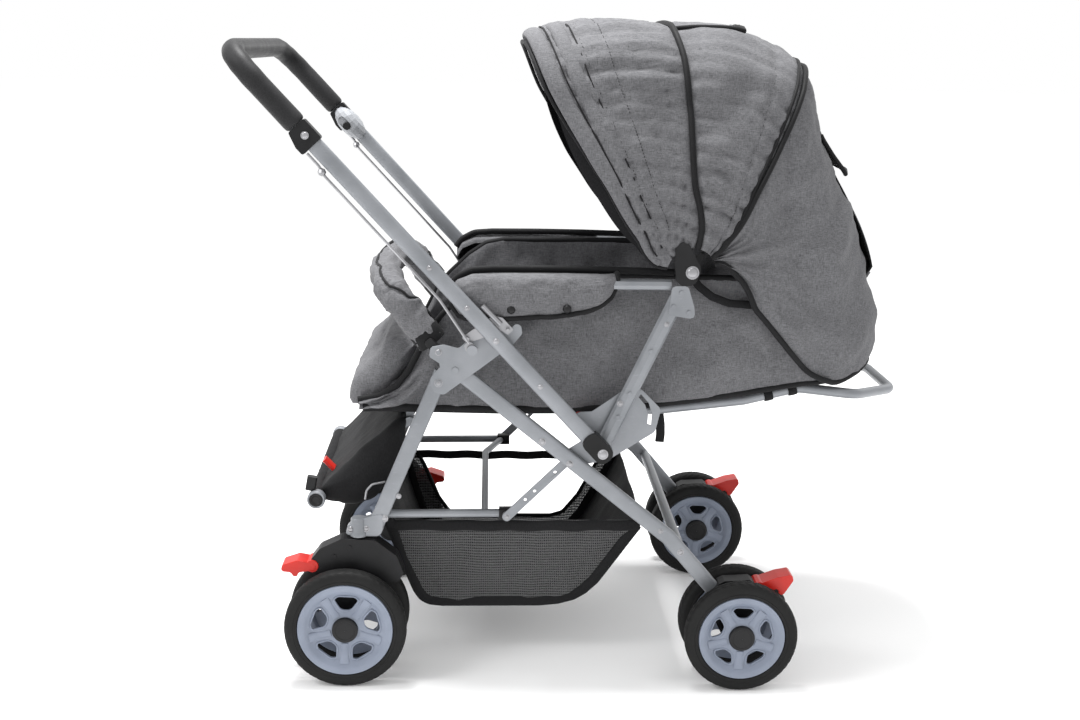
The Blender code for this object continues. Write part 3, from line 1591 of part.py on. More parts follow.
canopy_rear = canopy_skin("canopy_rear", (REAR_BOW, 47, 37, 26, 16, 4, -8, -18, -27, -34), 0.040, GREY_CLOTH)
rear_bow = canopy_bow("canopy_rear_bow", REAR_BOW - 2.0, 0.2260, 0.0019, False)
combine(rear_bow, [make_hub(label, side) for label, side in SIDES])
carry(frame_root, canopy_rear, rear_bow)

mid_pivot = pivot("canopy_mid_pivot", at(CANOPY_PIVOT, 0), frame_root)
mid_skin = canopy_skin("canopy_mid", (MID_BOW, 85, 76, 67, REAR_BOW + 1.2), 0.040, GREY_CLOTH)
mid_bow = canopy_bow("canopy_mid_bow", MID_BOW - 2.0, 0.2225, 0.0014)
carry(mid_pivot, mid_skin, mid_bow)

front_pivot = pivot("canopy_front_pivot", at(CANOPY_PIVOT, 0), mid_pivot)
front_skin = canopy_skin("canopy_front", (FRONT_BOW, 118, 110, 102, MID_BOW + 0.8), 0.040, GREY_CLOTH)
front_bow = canopy_bow("canopy_front_bow", FRONT_BOW - 2.5, 0.2190, 0.0014)
carry(front_pivot, front_skin, front_bow)

# Basket: a hanging cloth tub under the seat, with its far side cut low and a strap above
def make_basket():
    wall = BASKET_WALL
    front, front_low, floor_front, floor_rear, rear_low, rear_slope, rear_high, brim = BASKET_SIDE
    inner = [
        (front[0] + wall * 1.1, BASKET_BRIM_ABOVE),
        (front[0] + wall * 1.1, front[1]),
        (front_low[0] + wall, front_low[1] + wall + 0.0020),
        (floor_front[0] + wall, floor_front[1] + wall + 0.0005),
        (floor_rear[0], floor_rear[1] + wall + 0.0005),
        (rear_low[0] - wall * 0.6, rear_low[1] + wall + 0.0010),
        (rear_slope[0] - wall, rear_slope[1] + wall + 0.0020),
        (rear_high[0] - wall, rear_high[1] + wall * 0.5 + 0.0020),
        (brim[0] - wall, BASKET_BRIM_ABOVE),
    ]
    shell = plate("basket", BASKET_SIDE, 0, 2 * BASKET_TOP_HALF_WIDTH, BLACK_CLOTH)
    low, high = BASKET_BOTTOM_HALF_WIDTH, BASKET_TOP_HALF_WIDTH
    for side in (-1, 1):
        slope = bmesh.new()
        verts = [
            slope.verts.new((x, side * y, z))
            for x in (front[0] - 0.10, brim[0] + 0.10)
            for y, z in (
                (low, BASKET_LOW_Z),
                (high + 0.0005, brim[1] + 0.0005),
                (high + 0.05, brim[1] + 0.0005),
                (high + 0.05, BASKET_LOW_Z),
            )
        ]
        slope.faces.new(verts[:4])
        slope.faces.new(verts[:3:-1])
        for i in range(4):
            slope.faces.new((verts[i], verts[4 + i], verts[4 + (i + 1) % 4], verts[(i + 1) % 4]))
        bmesh.ops.recalc_face_normals(slope, faces=slope.faces)
        mesh = bpy.data.meshes.new("basket_slope")
        slope.to_mesh(mesh)
        slope.free()
        trimmer = bpy.data.objects.new("basket_slope", mesh)
        PARTS.objects.link(trimmer)
        cut(shell, [trimmer])
    room = bmesh.new()
    rows = []
    for x, z in inner:
        half = low + (high - low) * min(1.0, (z - BASKET_LOW_Z) / (brim[1] + 0.0005 - BASKET_LOW_Z)) - wall
        rows.append((room.verts.new((x, -half, z)), room.verts.new((x, half, z))))
    room.faces.new([a for a, _ in rows])
    room.faces.new([b for _, b in reversed(rows)])
    for i in range(len(rows)):
        j = (i + 1) % len(rows)
        room.faces.new((rows[i][0], rows[i][1], rows[j][1], rows[j][0]))
    bmesh.ops.triangulate(room, faces=room.faces)
    bmesh.ops.recalc_face_normals(room, faces=room.faces)
    mesh = bpy.data.meshes.new("basket_room")
    room.to_mesh(mesh)
    room.free()
    hollow_shape = bpy.data.objects.new("basket_room", mesh)
    PARTS.objects.link(hollow_shape)
    cut(shell, [hollow_shape])
    scoop = plate(
        "basket_scoop", rounded(BASKET_SCOOP, 0.03, 3), BASKET_TOP_HALF_WIDTH - 0.02, 0.10, BLACK_CLOTH
    )
    cut(shell, [scoop])
    return shell


basket = make_basket()
carry(frame_root, basket)

# Bumper bar: a padded hoop across the front, which swings down about its two end pins
bumper_pivot = pivot("bumper_pivot", at(PLATE_TOP_PIN, 0), frame_root)
TAB_OUTER_Y = OUTER_PLATE_Y - PLATE_THICKNESS / 2 - GAP
TAB_INNER_Y = BUMPER_Y + 0.016
bumper_path = [at(BUMPER_END, -BUMPER_Y), at(BUMPER_KNEE, -BUMPER_Y)]
for turn_step in range(5):
    turn = math.radians(90 * turn_step / 4)
    bend = at(BUMPER_BEND, -BUMPER_Y + BUMPER_CORNER * (1 - math.cos(turn)))
    bumper_path.append(bend + Vector((-0.024, 0, 0.020)) * math.sin(turn))
bumper_path.append(at(BUMPER_MIDDLE, -BUMPER_MIDDLE_Y))
bumper_path += [Vector((p.x, -p.y, p.z)) for p in reversed(bumper_path)]
bumper = tube("bumper_bar", bumper_path, BUMPER_R, GREY_CLOTH, 2)


def bumper_tab(label, side):
    tab = plate(
        f"bumper_tab_{label}",
        rounded(
            [
                offset_point(PLATE_TOP_PIN, BUMPER_END, -0.0075, -0.007),
                offset_point(PLATE_TOP_PIN, BUMPER_END, 0.024, -0.007),
                offset_point(PLATE_TOP_PIN, BUMPER_END, 0.024, 0.007),
                offset_point(PLATE_TOP_PIN, BUMPER_END, -0.0075, 0.007),
            ][::-1],
            0.0065,
            3,
        ),
        side * (TAB_INNER_Y + TAB_OUTER_Y) / 2,
        TAB_OUTER_Y - TAB_INNER_Y,
        BLACK,
    )
    return tab


combine(bumper, [bumper_tab(label, side) for label, side in SIDES])
carry(bumper_pivot, bumper)

# Footrest: a tube frame under the seat's front edge with a cloth panel over it
footrest_pivot = pivot("footrest_pivot", at(FOOTREST_PIVOT, 0), frame_root)
FOOTREST_END = (-0.4130, 0.2760)
footrest_bar = tube(
    "footrest_bar",
    round_path(
        [
            at(FOOTREST_PIVOT, -FOOTREST_ARM_Y),
            at(FOOTREST_END, -FOOTREST_ARM_Y),
            at(FOOTREST_END, FOOTREST_ARM_Y),
            at(FOOTREST_PIVOT, FOOTREST_ARM_Y),
        ],
        0.02,
    ),
    0.005,
    SILVER,
    2,
)
foot_roll = pin("foot_roll", FOOTREST_END, -0.190, 0.190, 0.0130, BLACK, 20)
combine(
    footrest_bar,
    [foot_roll]
    + [
        pin(
            f"footrest_eye_{label}",
            FOOTREST_PIVOT,
            side * (FOOTREST_ARM_Y - 0.005),
            side * (FOOTREST_ARM_Y + 0.005),
            0.0075,
            SILVER,
            12,
        )
        for label, side in SIDES
    ],
)
cut(
    footrest_bar,
    [
        pin(f"footrest_hole_{label}", FOOTREST_PIVOT, side * 0.145, side * 0.170, 0.0028 + GAP, SILVER, 10)
        for label, side in SIDES
    ],
)
panel = plate(
    "footrest_panel",
    rounded(
        [
            offset_point(FOOTREST_PIVOT, FOOTREST_END, 0.010, -0.0055),
            offset_point(FOOTREST_PIVOT, FOOTREST_END, 0.172, -0.0055),
            offset_point(FOOTREST_PIVOT, FOOTREST_END, 0.172, -0.0135),
            offset_point(FOOTREST_PIVOT, FOOTREST_END, 0.010, -0.0135),
        ],
        0.0035,
        2,
    ),
    0,
    2 * FOOTREST_HALF_WIDTH,
    BLACK_CLOTH,
)
carry(footrest_pivot, footrest_bar, panel)

# Fold release: a red button low on the near side, behind the handle's foot
BUTTON_OUTER_Y = INNER_PLATE_Y - PLATE_THICKNESS / 2 - GAP
button_pivot = pivot("fold_button_slide", at(BUTTON_AT, -BUTTON_OUTER_Y), frame_root)
button = block(
    "fold_button",
    (BUTTON_AT[0] - 0.009, -BUTTON_OUTER_Y, BUTTON_AT[1] - 0.0055),
    (BUTTON_AT[0] + 0.009, -BUTTON_OUTER_Y + 0.0200, BUTTON_AT[1] + 0.0055),
    RED,
    0.0025,
)
carry(button_pivot, button)
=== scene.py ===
"""The folding pushchair dressed for its picture, piece by piece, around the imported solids.

Metres, +Z up. The foot end is at -X, the near side is -Y, and the ground is at z = 0.
"""

import math

import bmesh
import bpy
from mathutils import Matrix, Vector, noise


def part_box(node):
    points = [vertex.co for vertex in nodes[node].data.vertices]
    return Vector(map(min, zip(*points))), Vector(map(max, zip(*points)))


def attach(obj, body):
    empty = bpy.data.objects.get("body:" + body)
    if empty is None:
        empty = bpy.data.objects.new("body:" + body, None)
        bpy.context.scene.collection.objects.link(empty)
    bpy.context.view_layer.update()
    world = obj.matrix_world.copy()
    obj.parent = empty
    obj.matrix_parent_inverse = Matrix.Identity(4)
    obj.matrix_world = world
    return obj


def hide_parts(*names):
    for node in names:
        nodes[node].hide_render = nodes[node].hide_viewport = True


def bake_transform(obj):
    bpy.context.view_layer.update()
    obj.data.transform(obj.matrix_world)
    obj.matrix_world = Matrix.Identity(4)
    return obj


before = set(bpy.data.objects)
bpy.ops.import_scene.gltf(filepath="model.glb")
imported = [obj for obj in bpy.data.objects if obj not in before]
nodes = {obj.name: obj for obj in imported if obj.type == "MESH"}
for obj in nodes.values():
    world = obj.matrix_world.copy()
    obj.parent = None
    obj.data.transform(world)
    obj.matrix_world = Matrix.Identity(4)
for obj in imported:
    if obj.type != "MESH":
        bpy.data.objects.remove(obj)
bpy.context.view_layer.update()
bpy.ops.object.select_all(action="DESELECT")

# Camera
# A plain long lens at the photograph's place: a little above the handle, square to the near side.
bpy.ops.object.camera_add()
camera = bpy.context.object
camera.name = "camera"
camera_right = Vector((0.99925578, -0.03569449, 0.01462163))
camera_up = Vector((-0.00617326, 0.22618995, 0.97406365))
camera_back = Vector((-0.03807597, -0.97342899, 0.22580127))
camera.matrix_world = Matrix.Translation((-0.1475, -2.2453, 0.9793)) @ Matrix(
    (camera_right, camera_up, camera_back)
).transposed().to_4x4()
camera.data.sensor_width = 36
camera.data.lens = 46.03
camera.data.clip_end = 60
bpy.context.scene.camera = camera

# Lights
# A white room, a broad soft box above and to the front, and a weaker one over the far side.
bpy.context.scene.view_settings.view_transform = "Standard"
world = bpy.data.worlds.new("white_room")
world.use_nodes = True
world.node_tree.nodes["Background"].inputs["Color"].default_value = (1, 1, 1, 1)
world.node_tree.nodes["Background"].inputs["Strength"].default_value = 1.0
bpy.context.scene.world = world
for lamp, place, size, power in (
    ("key_soft_box", (-2.2, -1.2, 2.4), 0.8, 22),
    ("top_soft_box", (-0.45, 0.10, 3.0), 0.7, 112),
    ("rim_soft_box", (1.9, 1.7, 2.0), 1.6, 10),
):
    bpy.ops.object.light_add(type="AREA", location=place)
    light = bpy.context.object
    light.name = lamp
    light.data.shape = "SQUARE"
    light.data.size = size
    light.data.energy = power
    light.rotation_euler = (Vector((0, 0, 0.45)) - Vector(place)).to_track_quat("-Z", "Y").to_euler()


# Painted steel legs and their plates
# Flat-sided steel tube, bent, drilled and sprayed silver-grey. The plates are stamped sheet,
# sprayed the same, and everything is riveted together with plated rivets.
class Amount:
    """A number or colour on its way through a finish, so that sums are written as sums."""

    def __init__(self, finish, socket):
        self.finish = finish
        self.socket = socket

    def maths(self, operation, first, second):
        return self.finish.node("ShaderNodeMath", {"operation": operation}, {0: first, 1: second})

    def __add__(self, other):
        return self.maths("ADD", self, other)

    def __sub__(self, other):
        return self.maths("SUBTRACT", self, other)

    def __rsub__(self, other):
        return self.maths("SUBTRACT", other, self)

    def __mul__(self, other):
        return self.maths("MULTIPLY", self, other)

    def sine(self):
        return self.maths("SINE", self, 0)

    __radd__ = __add__
    __rmul__ = __mul__


class Finish:
    """One procedural finish: what is the same all over goes on the shader's own sockets."""

    def __init__(self, name, slot, roughness, metallic=0.0, **constants):
        self.material = bpy.data.materials.new(name)
        self.material.use_nodes = True
        self.slot = slot
        self.tree = self.material.node_tree
        self.shader = self.tree.nodes["Principled BSDF"]
        self.set("Roughness", roughness)
        self.set("Metallic", metallic)
        for socket, value in constants.items():
            self.set(socket.replace("_", " "), value)

    def set(self, socket, value, node=None):
        target = (node or self.shader).inputs[socket]
        if isinstance(value, Amount):
            self.tree.links.new(value.socket, target)
        elif isinstance(value, tuple) and len(value) == 3 and target.type == "RGBA":
            target.default_value = (*value, 1.0)
        else:
            target.default_value = value

    def node(self, kind, settings, sockets, out=0):
        new = self.tree.nodes.new(kind)
        for setting, value in settings.items():
            setattr(new, setting, value)
        for socket, value in sockets.items():
            self.set(socket, value, new)
        return Amount(self, new.outputs[out])

    def place(self, stretch=(1, 1, 1)):
        on_object = self.node("ShaderNodeTexCoord", {}, {}, 3)
        return self.node("ShaderNodeMapping", {}, {"Vector": on_object, "Scale": stretch})

    def noise(self, scale, stretch=(1, 1, 1), detail=2.0, roughness=0.5):
        sockets = {"Vector": self.place(stretch), "Scale": scale, "Detail": detail, "Roughness": roughness}
        return self.node("ShaderNodeTexNoise", {}, sockets)

    def between(self, factor, first, second):
        sockets = {0: factor, 6: first, 7: second}
        return self.node("ShaderNodeMix", {"data_type": "RGBA"}, sockets, 2)

    def level(self, factor, low, high, least=0.0, most=1.0):
        sockets = {"Value": factor, 1: low, 2: high, 3: least, 4: most}
        return self.node("ShaderNodeMapRange", {}, sockets)

    def bump(self, height, strength, distance):
        sockets = {"Height": height, "Strength": strength, "Distance": distance}
        self.set("Normal", self.node("ShaderNodeBump", {}, sockets))


def brighter(shade, times, plus=0.0):
    return tuple(min(1.0, c * times + plus) for c in shade)


def sprayed_steel(name, slot, dark, light, roughness, metallic, grain):
    finish = Finish(name, slot, roughness, metallic)
    cloud = finish.noise(14, detail=3)
    flecks = finish.noise(2600, detail=1)
    scuffs = finish.level(finish.noise(60, (1, 1, 9), 4, 0.7), 0.60, 0.72)
    shade = finish.between(finish.level(cloud, 0.3, 0.7), dark, light)
    worn = finish.between(scuffs * 0.35, shade, brighter(light, 1.35))
    finish.set("Base Color", finish.between(finish.level(flecks, 0.3, 0.7) * grain, worn, dark))
    finish.set("Roughness", finish.level(cloud + scuffs * 0.3, 0.3, 1.0, roughness - 0.06, roughness + 0.12))
    finish.bump(flecks + finish.noise(500) * 0.6, 0.10, 0.0003)
    return finish


silver = sprayed_steel(
    "sprayed_silver", "silver_paint", (0.19, 0.20, 0.215), (0.285, 0.295, 0.315), 0.42, 0.40, 0.35
)
steel = sprayed_steel(
    "plated_steel", "bright_steel", (0.25, 0.25, 0.26), (0.37, 0.37, 0.385), 0.34, 0.85, 0.15
)


def moulded(name, slot, dark, light, roughness, grain=0.12, **constants):
    finish = Finish(name, slot, roughness, **constants)
    cloud = finish.noise(22, detail=3)
    grains = finish.noise(1500, detail=1)
    marks = finish.level(finish.noise(90, (1, 3, 8), 4, 0.7), 0.62, 0.72)
    shade = finish.between(finish.level(cloud, 0.3, 0.7), dark, light)
    finish.set("Base Color", finish.between(marks * 0.25, shade, brighter(light, 1.6, 0.02)))
    finish.set("Roughness", finish.level(cloud + marks * 0.4, 0.2, 1.2, roughness - 0.08, roughness + 0.14))
    finish.bump(grains, grain, 0.0003)
    return finish


black_plastic = moulded("black_plastic_grained", "black_plastic", (0.006, 0.006, 0.0065),
                        (0.013, 0.013, 0.014), 0.46, Specular_IOR_Level=0.22)


def dressed(names, finish, edge=0.0005):
    """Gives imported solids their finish, and breaks their edges as stamping and moulding do."""
    for name in names:
        piece = nodes[name]
        piece.data.materials.clear()
        piece.data.materials.append(finish.material)
        if not edge:
            continue
        join = piece.modifiers.new("joined", "WELD")
        join.merge_threshold = 0.00002
        round_edge = piece.modifiers.new("broken_edges", "BEVEL")
        round_edge.limit_method = "ANGLE"
        round_edge.angle_limit = math.radians(38)
        round_edge.width = edge
        round_edge.segments = 2


def made(name, verts, faces, finishes, smooth=40):
    """A finished mesh piece at the origin. finishes is one finish or several, by face index."""
    finishes = finishes if isinstance(finishes, (list, tuple)) else [finishes]
    mesh = bpy.data.meshes.new(name)
    mesh.from_pydata([tuple(v) for v in verts], [], faces)
    mesh.validate()
    piece = bpy.data.objects.new(name, mesh)
    bpy.context.scene.collection.objects.link(piece)
    for finish in finishes:
        mesh.materials.append(finish.material)
    work = bmesh.new()
    work.from_mesh(mesh)
    bmesh.ops.remove_doubles(work, verts=work.verts, dist=1e-6)
    bmesh.ops.recalc_face_normals(work, faces=work.faces)
    work.to_mesh(mesh)
    work.free()
    shaded(piece, smooth)
    return piece


def alone(piece):
    """Makes this piece the active one, and the only one selected."""
    bpy.ops.object.select_all(action="DESELECT")
    piece.select_set(True)
    bpy.context.view_layer.objects.active = piece


def shaded(piece, angle=40):
    alone(piece)
    bpy.ops.object.shade_smooth_by_angle(angle=math.radians(angle))
    piece.select_set(False)


def softened(points, radius, steps=8):
    """The open path through these points, with each inner corner rounded."""
    path = [Vector(points[0])]
    for before, here, after in zip(points, points[1:], points[2:]):
        here, before, after = Vector(here), Vector(before), Vector(after)
        back, ahead = before - here, after - here
        half = back.angle(ahead) / 2
        reach = min(radius / math.tan(half), back.length * 0.48, ahead.length * 0.48)
        start, end = here + back.normalized() * reach, here + ahead.normalized() * reach
        for step in range(steps + 1):
            t = step / steps
            path.append((1 - t) ** 2 * start + 2 * t * (1 - t) * here + t ** 2 * end)
    path.append(Vector(points[-1]))
    return path


def heading(path, i):
    """The direction of a path at its point i."""
    return (path[min(i + 1, len(path) - 1)] - path[max(i - 1, 0)]).normalized()


def ring_faces(rows, sides, closed=True):
    """Quads between rings of points, and if closed a face over each end."""
    faces = []
    for i in range(rows - 1):
        for k in range(sides):
            j = (k + 1) % sides
            faces.append((i * sides + k, i * sides + j, (i + 1) * sides + j, (i + 1) * sides + k))
    if closed:
        faces += [tuple(range(sides)), tuple(range((rows - 1) * sides, rows * sides))]
    return faces


def tube_mesh(path, wide, deep, across=None, sides=20, square=2.0, closed=True):
    """Vertices and faces of a tube. across is the direction of its depth, square over 2 flattens
    its sides, and a wide given as a list changes along it."""
    path = [Vector(p) for p in path]
    verts = []
    side = Vector(across) if across else None
    for i, place in enumerate(path):
        way = heading(path, i)
        if across:
            level = side.copy()
        else:
            level = way.orthogonal().normalized() if side is None else side - way * side.dot(way)
            side = level.normalized()
            level = side
        other = way.cross(level).normalized()
        level = other.cross(way).normalized()
        a = (wide[i] if isinstance(wide, list) else wide) / 2
        b = (deep[i] if isinstance(deep, list) else deep) / 2
        for k in range(sides):
            turn = math.tau * k / sides
            c, s = math.cos(turn), math.sin(turn)
            reach_c = math.copysign(abs(c) ** (2 / square), c)
            reach_s = math.copysign(abs(s) ** (2 / square), s)
            verts.append(place + other * a * reach_c + level * b * reach_s)
    return verts, ring_faces(len(path), sides, closed)


def turned(profile, centre, axis="y", way=1, turns=48):
    """Vertices and faces turned from (radius, height) points about an axis through the centre."""
    verts = []
    x0, y0, z0 = centre
    for r, h in profile:
        for k in range(turns):
            a = math.tau * k / turns
            if axis == "y":
                verts.append(Vector((x0 + r * math.cos(a), y0 + way * h, z0 + r * math.sin(a))))
            else:
                verts.append(Vector((x0 + r * math.cos(a), y0 + r * math.sin(a), z0 + way * h)))
    return verts, ring_faces(len(profile), turns, False)


def add_to(bag, verts, faces):
    start = len(bag[0])
    bag[0].extend(verts)
    bag[1].extend(tuple(start + i for i in face) for face in faces)


def at(point, y):
    return Vector((point[0], y, point[1]))


SIDES = (("near", -1), ("far", 1))
FOLD_PIVOT = (-0.220, 0.480)
LEG_TOP_PIN = (-0.195, 0.500)
PLATE_TOP_PIN = (-0.220, 0.527)
REAR_LEG_BEND = (0.133, 0.235)
REAR_LEG_FOOT = (0.2045, 0.151)
REAR_LEG_Y = 0.240
BRACE_REAR = (-0.022, 0.354)
REAR_LEG_RIVET = (-0.064, 0.389)
HANDLE_PIVOT = (0.026, 0.377)
STRUT_TOP = (0.138, 0.619)
LEG_SIZE = (0.024, 0.012)
LEG_FACE, PLATE_FACE = 0.2458, 0.2490


def beyond(start, end, distance):
    way = (Vector(end) - Vector(start)).normalized()
    return tuple(Vector(start) - way * distance)


def flat_leg(name, points, y, body, node):
    verts, faces = tube_mesh(softened([at(p, y) for p in points], 0.03), *LEG_SIZE, (0, 1, 0), 28, 4.2)
    piece = made(name, verts, faces, silver, 32)
    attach(piece, body)
    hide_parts(node)


def rivet_bag(spots, radius=0.0042, height=0.0022, turns=18):
    """Domed rivet heads with a thin washer, at (x, z, y of the face, side, size)."""
    bag = ([], [])
    for x, z, face, side, *scale in spots:
        size = scale[0] if scale else 1.0
        dome = [(radius * size * r, height * size * h) for r, h in
                ((1.25, 0.0), (1.25, 0.25), (1.0, 0.3), (0.86, 0.72), (0.5, 0.95), (0.0, 1.0))]
        verts, faces = turned(dome, (x, side * face, z), "y", side, turns)
        add_to(bag, verts, [*faces, tuple(range(turns))])
    return bag


def cross_bar(name, node, width, sides, body):
    """A round bar straight across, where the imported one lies."""
    low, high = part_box(node)
    middle = (low + high) / 2
    bag = tube_mesh([(middle.x, low.y, middle.z), (middle.x, high.y, middle.z)], width, width, sides=sides)
    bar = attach(made(name, *bag, silver, 50), body)
    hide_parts(node)


for label, side in SIDES:
    flat_leg(
        f"rear_leg_tube_{label}",
        [beyond(LEG_TOP_PIN, REAR_LEG_BEND, 0.014), REAR_LEG_BEND, REAR_LEG_FOOT],
        side * REAR_LEG_Y, "frame", f"rear_leg_{label}",
    )
    dressed([f"front_plate_{label}", f"recline_plate_{label}", f"strut_{label}", f"armrest_{label}"], silver)
    bag = rivet_bag([
        (*REAR_LEG_RIVET, LEG_FACE, side, 1.1), (*BRACE_REAR, LEG_FACE, side, 1.1),
        (0.152, 0.2125, LEG_FACE, side), (0.120, 0.2465, LEG_FACE, side, 0.8),
        (*PLATE_TOP_PIN, PLATE_FACE, side), (*LEG_TOP_PIN, PLATE_FACE, side, 0.9),
        (*FOLD_PIVOT, PLATE_FACE, side, 1.2), (*STRUT_TOP, LEG_FACE, side, 0.9),
        (0.118, 0.571, LEG_FACE, side, 0.8), (0.052, 0.449, LEG_FACE, side, 0.9),
    ])
    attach(made(f"frame_rivets_{label}", *bag, steel, 50), "frame")
dressed(["rear_cross_tube", "seat_rail"], silver, 0.0)
dressed(["rear_hub_near", "rear_hub_far"], black_plastic, 0.0008)
cross_bar("rear_cross_tube_smooth", "rear_cross_tube", 0.016, 28, "frame")

# Front legs and the bar between them
# The same flat-sided tube, straight, with a stamped foot plate riveted over the caster's
# socket. They lie inside the rear legs, and the round bar keeps them apart.
FRONT_LEG_FOOT = (-0.3205, 0.240)
FRONT_LEG_Y, FRONT_LEG_FACE = 0.222, 0.2278
CASTER_AXIS_X = -0.344
BRACE_FRONT = (-0.304, 0.260)


def stamped(name, outline, y, thickness, finish, edge):
    """A flat piece of this (x, z) outline, centred on the plane at y, with its edges broken."""
    half = thickness / 2
    count = len(outline)
    verts = [(x, y - half, z) for x, z in outline] + [(x, y + half, z) for x, z in outline]
    faces = [tuple(range(count)), tuple(reversed(range(count, 2 * count)))]
    faces += [(i, (i + 1) % count, count + (i + 1) % count, count + i) for i in range(count)]
    piece = made(name, verts, faces, finish, 40)
    bevelled(piece, edge)
    return piece


def bevelled(piece, width):
    alone(piece)
    edge = piece.modifiers.new("edge", "BEVEL")
    edge.width = width
    edge.segments = 3
    edge.limit_method = "ANGLE"
    edge.angle_limit = math.radians(35)
    bpy.ops.object.modifier_apply(modifier="edge")
    piece.select_set(False)
    shaded(piece, 40)


def rounded_outline(corners, radius, steps=6):
    """The closed outline through these corners, each rounded off."""
    points = []
    for i, corner in enumerate(corners):
        here = Vector(corner)
        back = Vector(corners[i - 1]) - here
        ahead = Vector(corners[(i + 1) % len(corners)]) - here
        reach = min(radius, back.length * 0.45, ahead.length * 0.45)
        start, end = here + back.normalized() * reach, here + ahead.normalized() * reach
        for step in range(steps + 1):
            t = step / steps
            points.append(tuple((1 - t) ** 2 * start + 2 * t * (1 - t) * here + t ** 2 * end))
    return points


for label, side in SIDES:
    y = side * FRONT_LEG_Y
    flat_leg(
        f"front_leg_tube_{label}", [beyond(FOLD_PIVOT, FRONT_LEG_FOOT, 0.012), FRONT_LEG_FOOT],
        y, "front_legs", f"front_leg_{label}",
    )
    foot = stamped(
        f"front_foot_plate_{label}",
        rounded_outline([
            (-0.3050, 0.268), (-0.3290, 0.262), (-0.3600, 0.2500), (-0.3640, 0.2340), (-0.3400, 0.2312),
            (-0.3125, 0.2312), (-0.3065, 0.2400),
        ], 0.006),
        y, 0.0156, silver, 0.0012,
    )
    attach(foot, "front_legs")
    socket = turned([
        (0, 0.2303), (0.0125, 0.2303), (0.0140, 0.2315), (0.0140, 0.2375), (0.0120, 0.2400), (0.0120, 0.2580),
        (0.0105, 0.2600), (0, 0.2600),
    ], (CASTER_AXIS_X, y, 0), "z")
    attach(made(f"caster_socket_{label}", *socket, silver, 50), "front_legs")
    bag = rivet_bag([
        (CASTER_AXIS_X - 0.012, 0.2430, 0.2297, side), (CASTER_AXIS_X + 0.012, 0.2440, 0.2297, side),
        (*BRACE_FRONT, FRONT_LEG_FACE, side, 1.1), (-0.2820, 0.2960, FRONT_LEG_FACE, side, 0.8),
    ])
    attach(made(f"front_leg_rivets_{label}", *bag, steel, 50), "front_legs")
cross_bar("front_cross_bar", "front_cross_tube", 0.014, 24, "front_legs")

# Casters and levers
# Black moulded yokes that turn under the front legs, with bright red foot levers that lock
# them, and the like levers that brake the rear wheels.
red_plastic = moulded("red_plastic_gloss", "red_plastic", (0.42, 0.010, 0.007), (0.56, 0.020, 0.012), 0.32,
                      0.05, Specular_IOR_Level=0.35)
dressed(["caster_yoke_near", "caster_yoke_far"], black_plastic, 0.0030)
dressed(["swivel_lock_near", "swivel_lock_far", "brake_lever_near", "brake_lever_far", "fold_button"],
        red_plastic, 0.0016)

# Wheels
# Two-part plastic rims in blue-grey with five rounded openings and a black press-on cap, and a
# solid black tyre with a shallow block tread. A front and a rear wheel are made, then copied.
rim_plastic = moulded("blue_grey_rim", "white_plastic", (0.165, 0.190, 0.245), (0.215, 0.245, 0.310),
                      0.38, 0.04)
tyre_rubber = moulded("tyre_rubber", "tyre", (0.006, 0.006, 0.006), (0.013, 0.013, 0.013), 0.66, 0.30,
                      Specular_IOR_Level=0.20)
cap_plastic = moulded("cap_plastic", "black_plastic", (0.006, 0.006, 0.0065), (0.011, 0.011, 0.012),
                      0.38, 0.16, Specular_IOR_Level=0.25)
TYRE_HEIGHT = 0.022
SPOKES = 5


def tyre_bag(radius):
    inner = radius - TYRE_HEIGHT
    section = [
        (inner + 0.0015, -0.0090), (inner + 0.0022, -0.0122), (inner + 0.0060, -0.0130),
        (inner + 0.0072, -0.0124), (inner + 0.0082, -0.0129), (radius - 0.0090, -0.0129),
        (radius - 0.0052, -0.0124), (radius - 0.0024, -0.0108), (radius - 0.0009, -0.0086),
        (radius - 0.0002, -0.0058), (radius, -0.0030), (radius, -0.0012),
    ]
    section = section + [(r, -h) for r, h in reversed(section)]
    turns, blocks = 264, 44
    verts, faces = [], []
    for r, h in section:
        for k in range(turns):
            share = (k / turns * blocks + abs(h) * 95) % 1.0
            depth = 0.0
            if r > radius - 0.0070:
                if share < 0.24 and abs(h) > 0.0025:
                    depth = 0.0011
                if abs(h) < 0.0013:
                    depth = 0.0006
            a = math.tau * k / turns
            verts.append(Vector(((r - depth) * math.cos(a), -h, (r - depth) * math.sin(a))))
    rows = len(section)
    for i in range(rows):
        for k in range(turns):
            j, after = (k + 1) % turns, (i + 1) % rows
            faces.append((i * turns + k, i * turns + j, after * turns + j, after * turns + k))
    return verts, faces


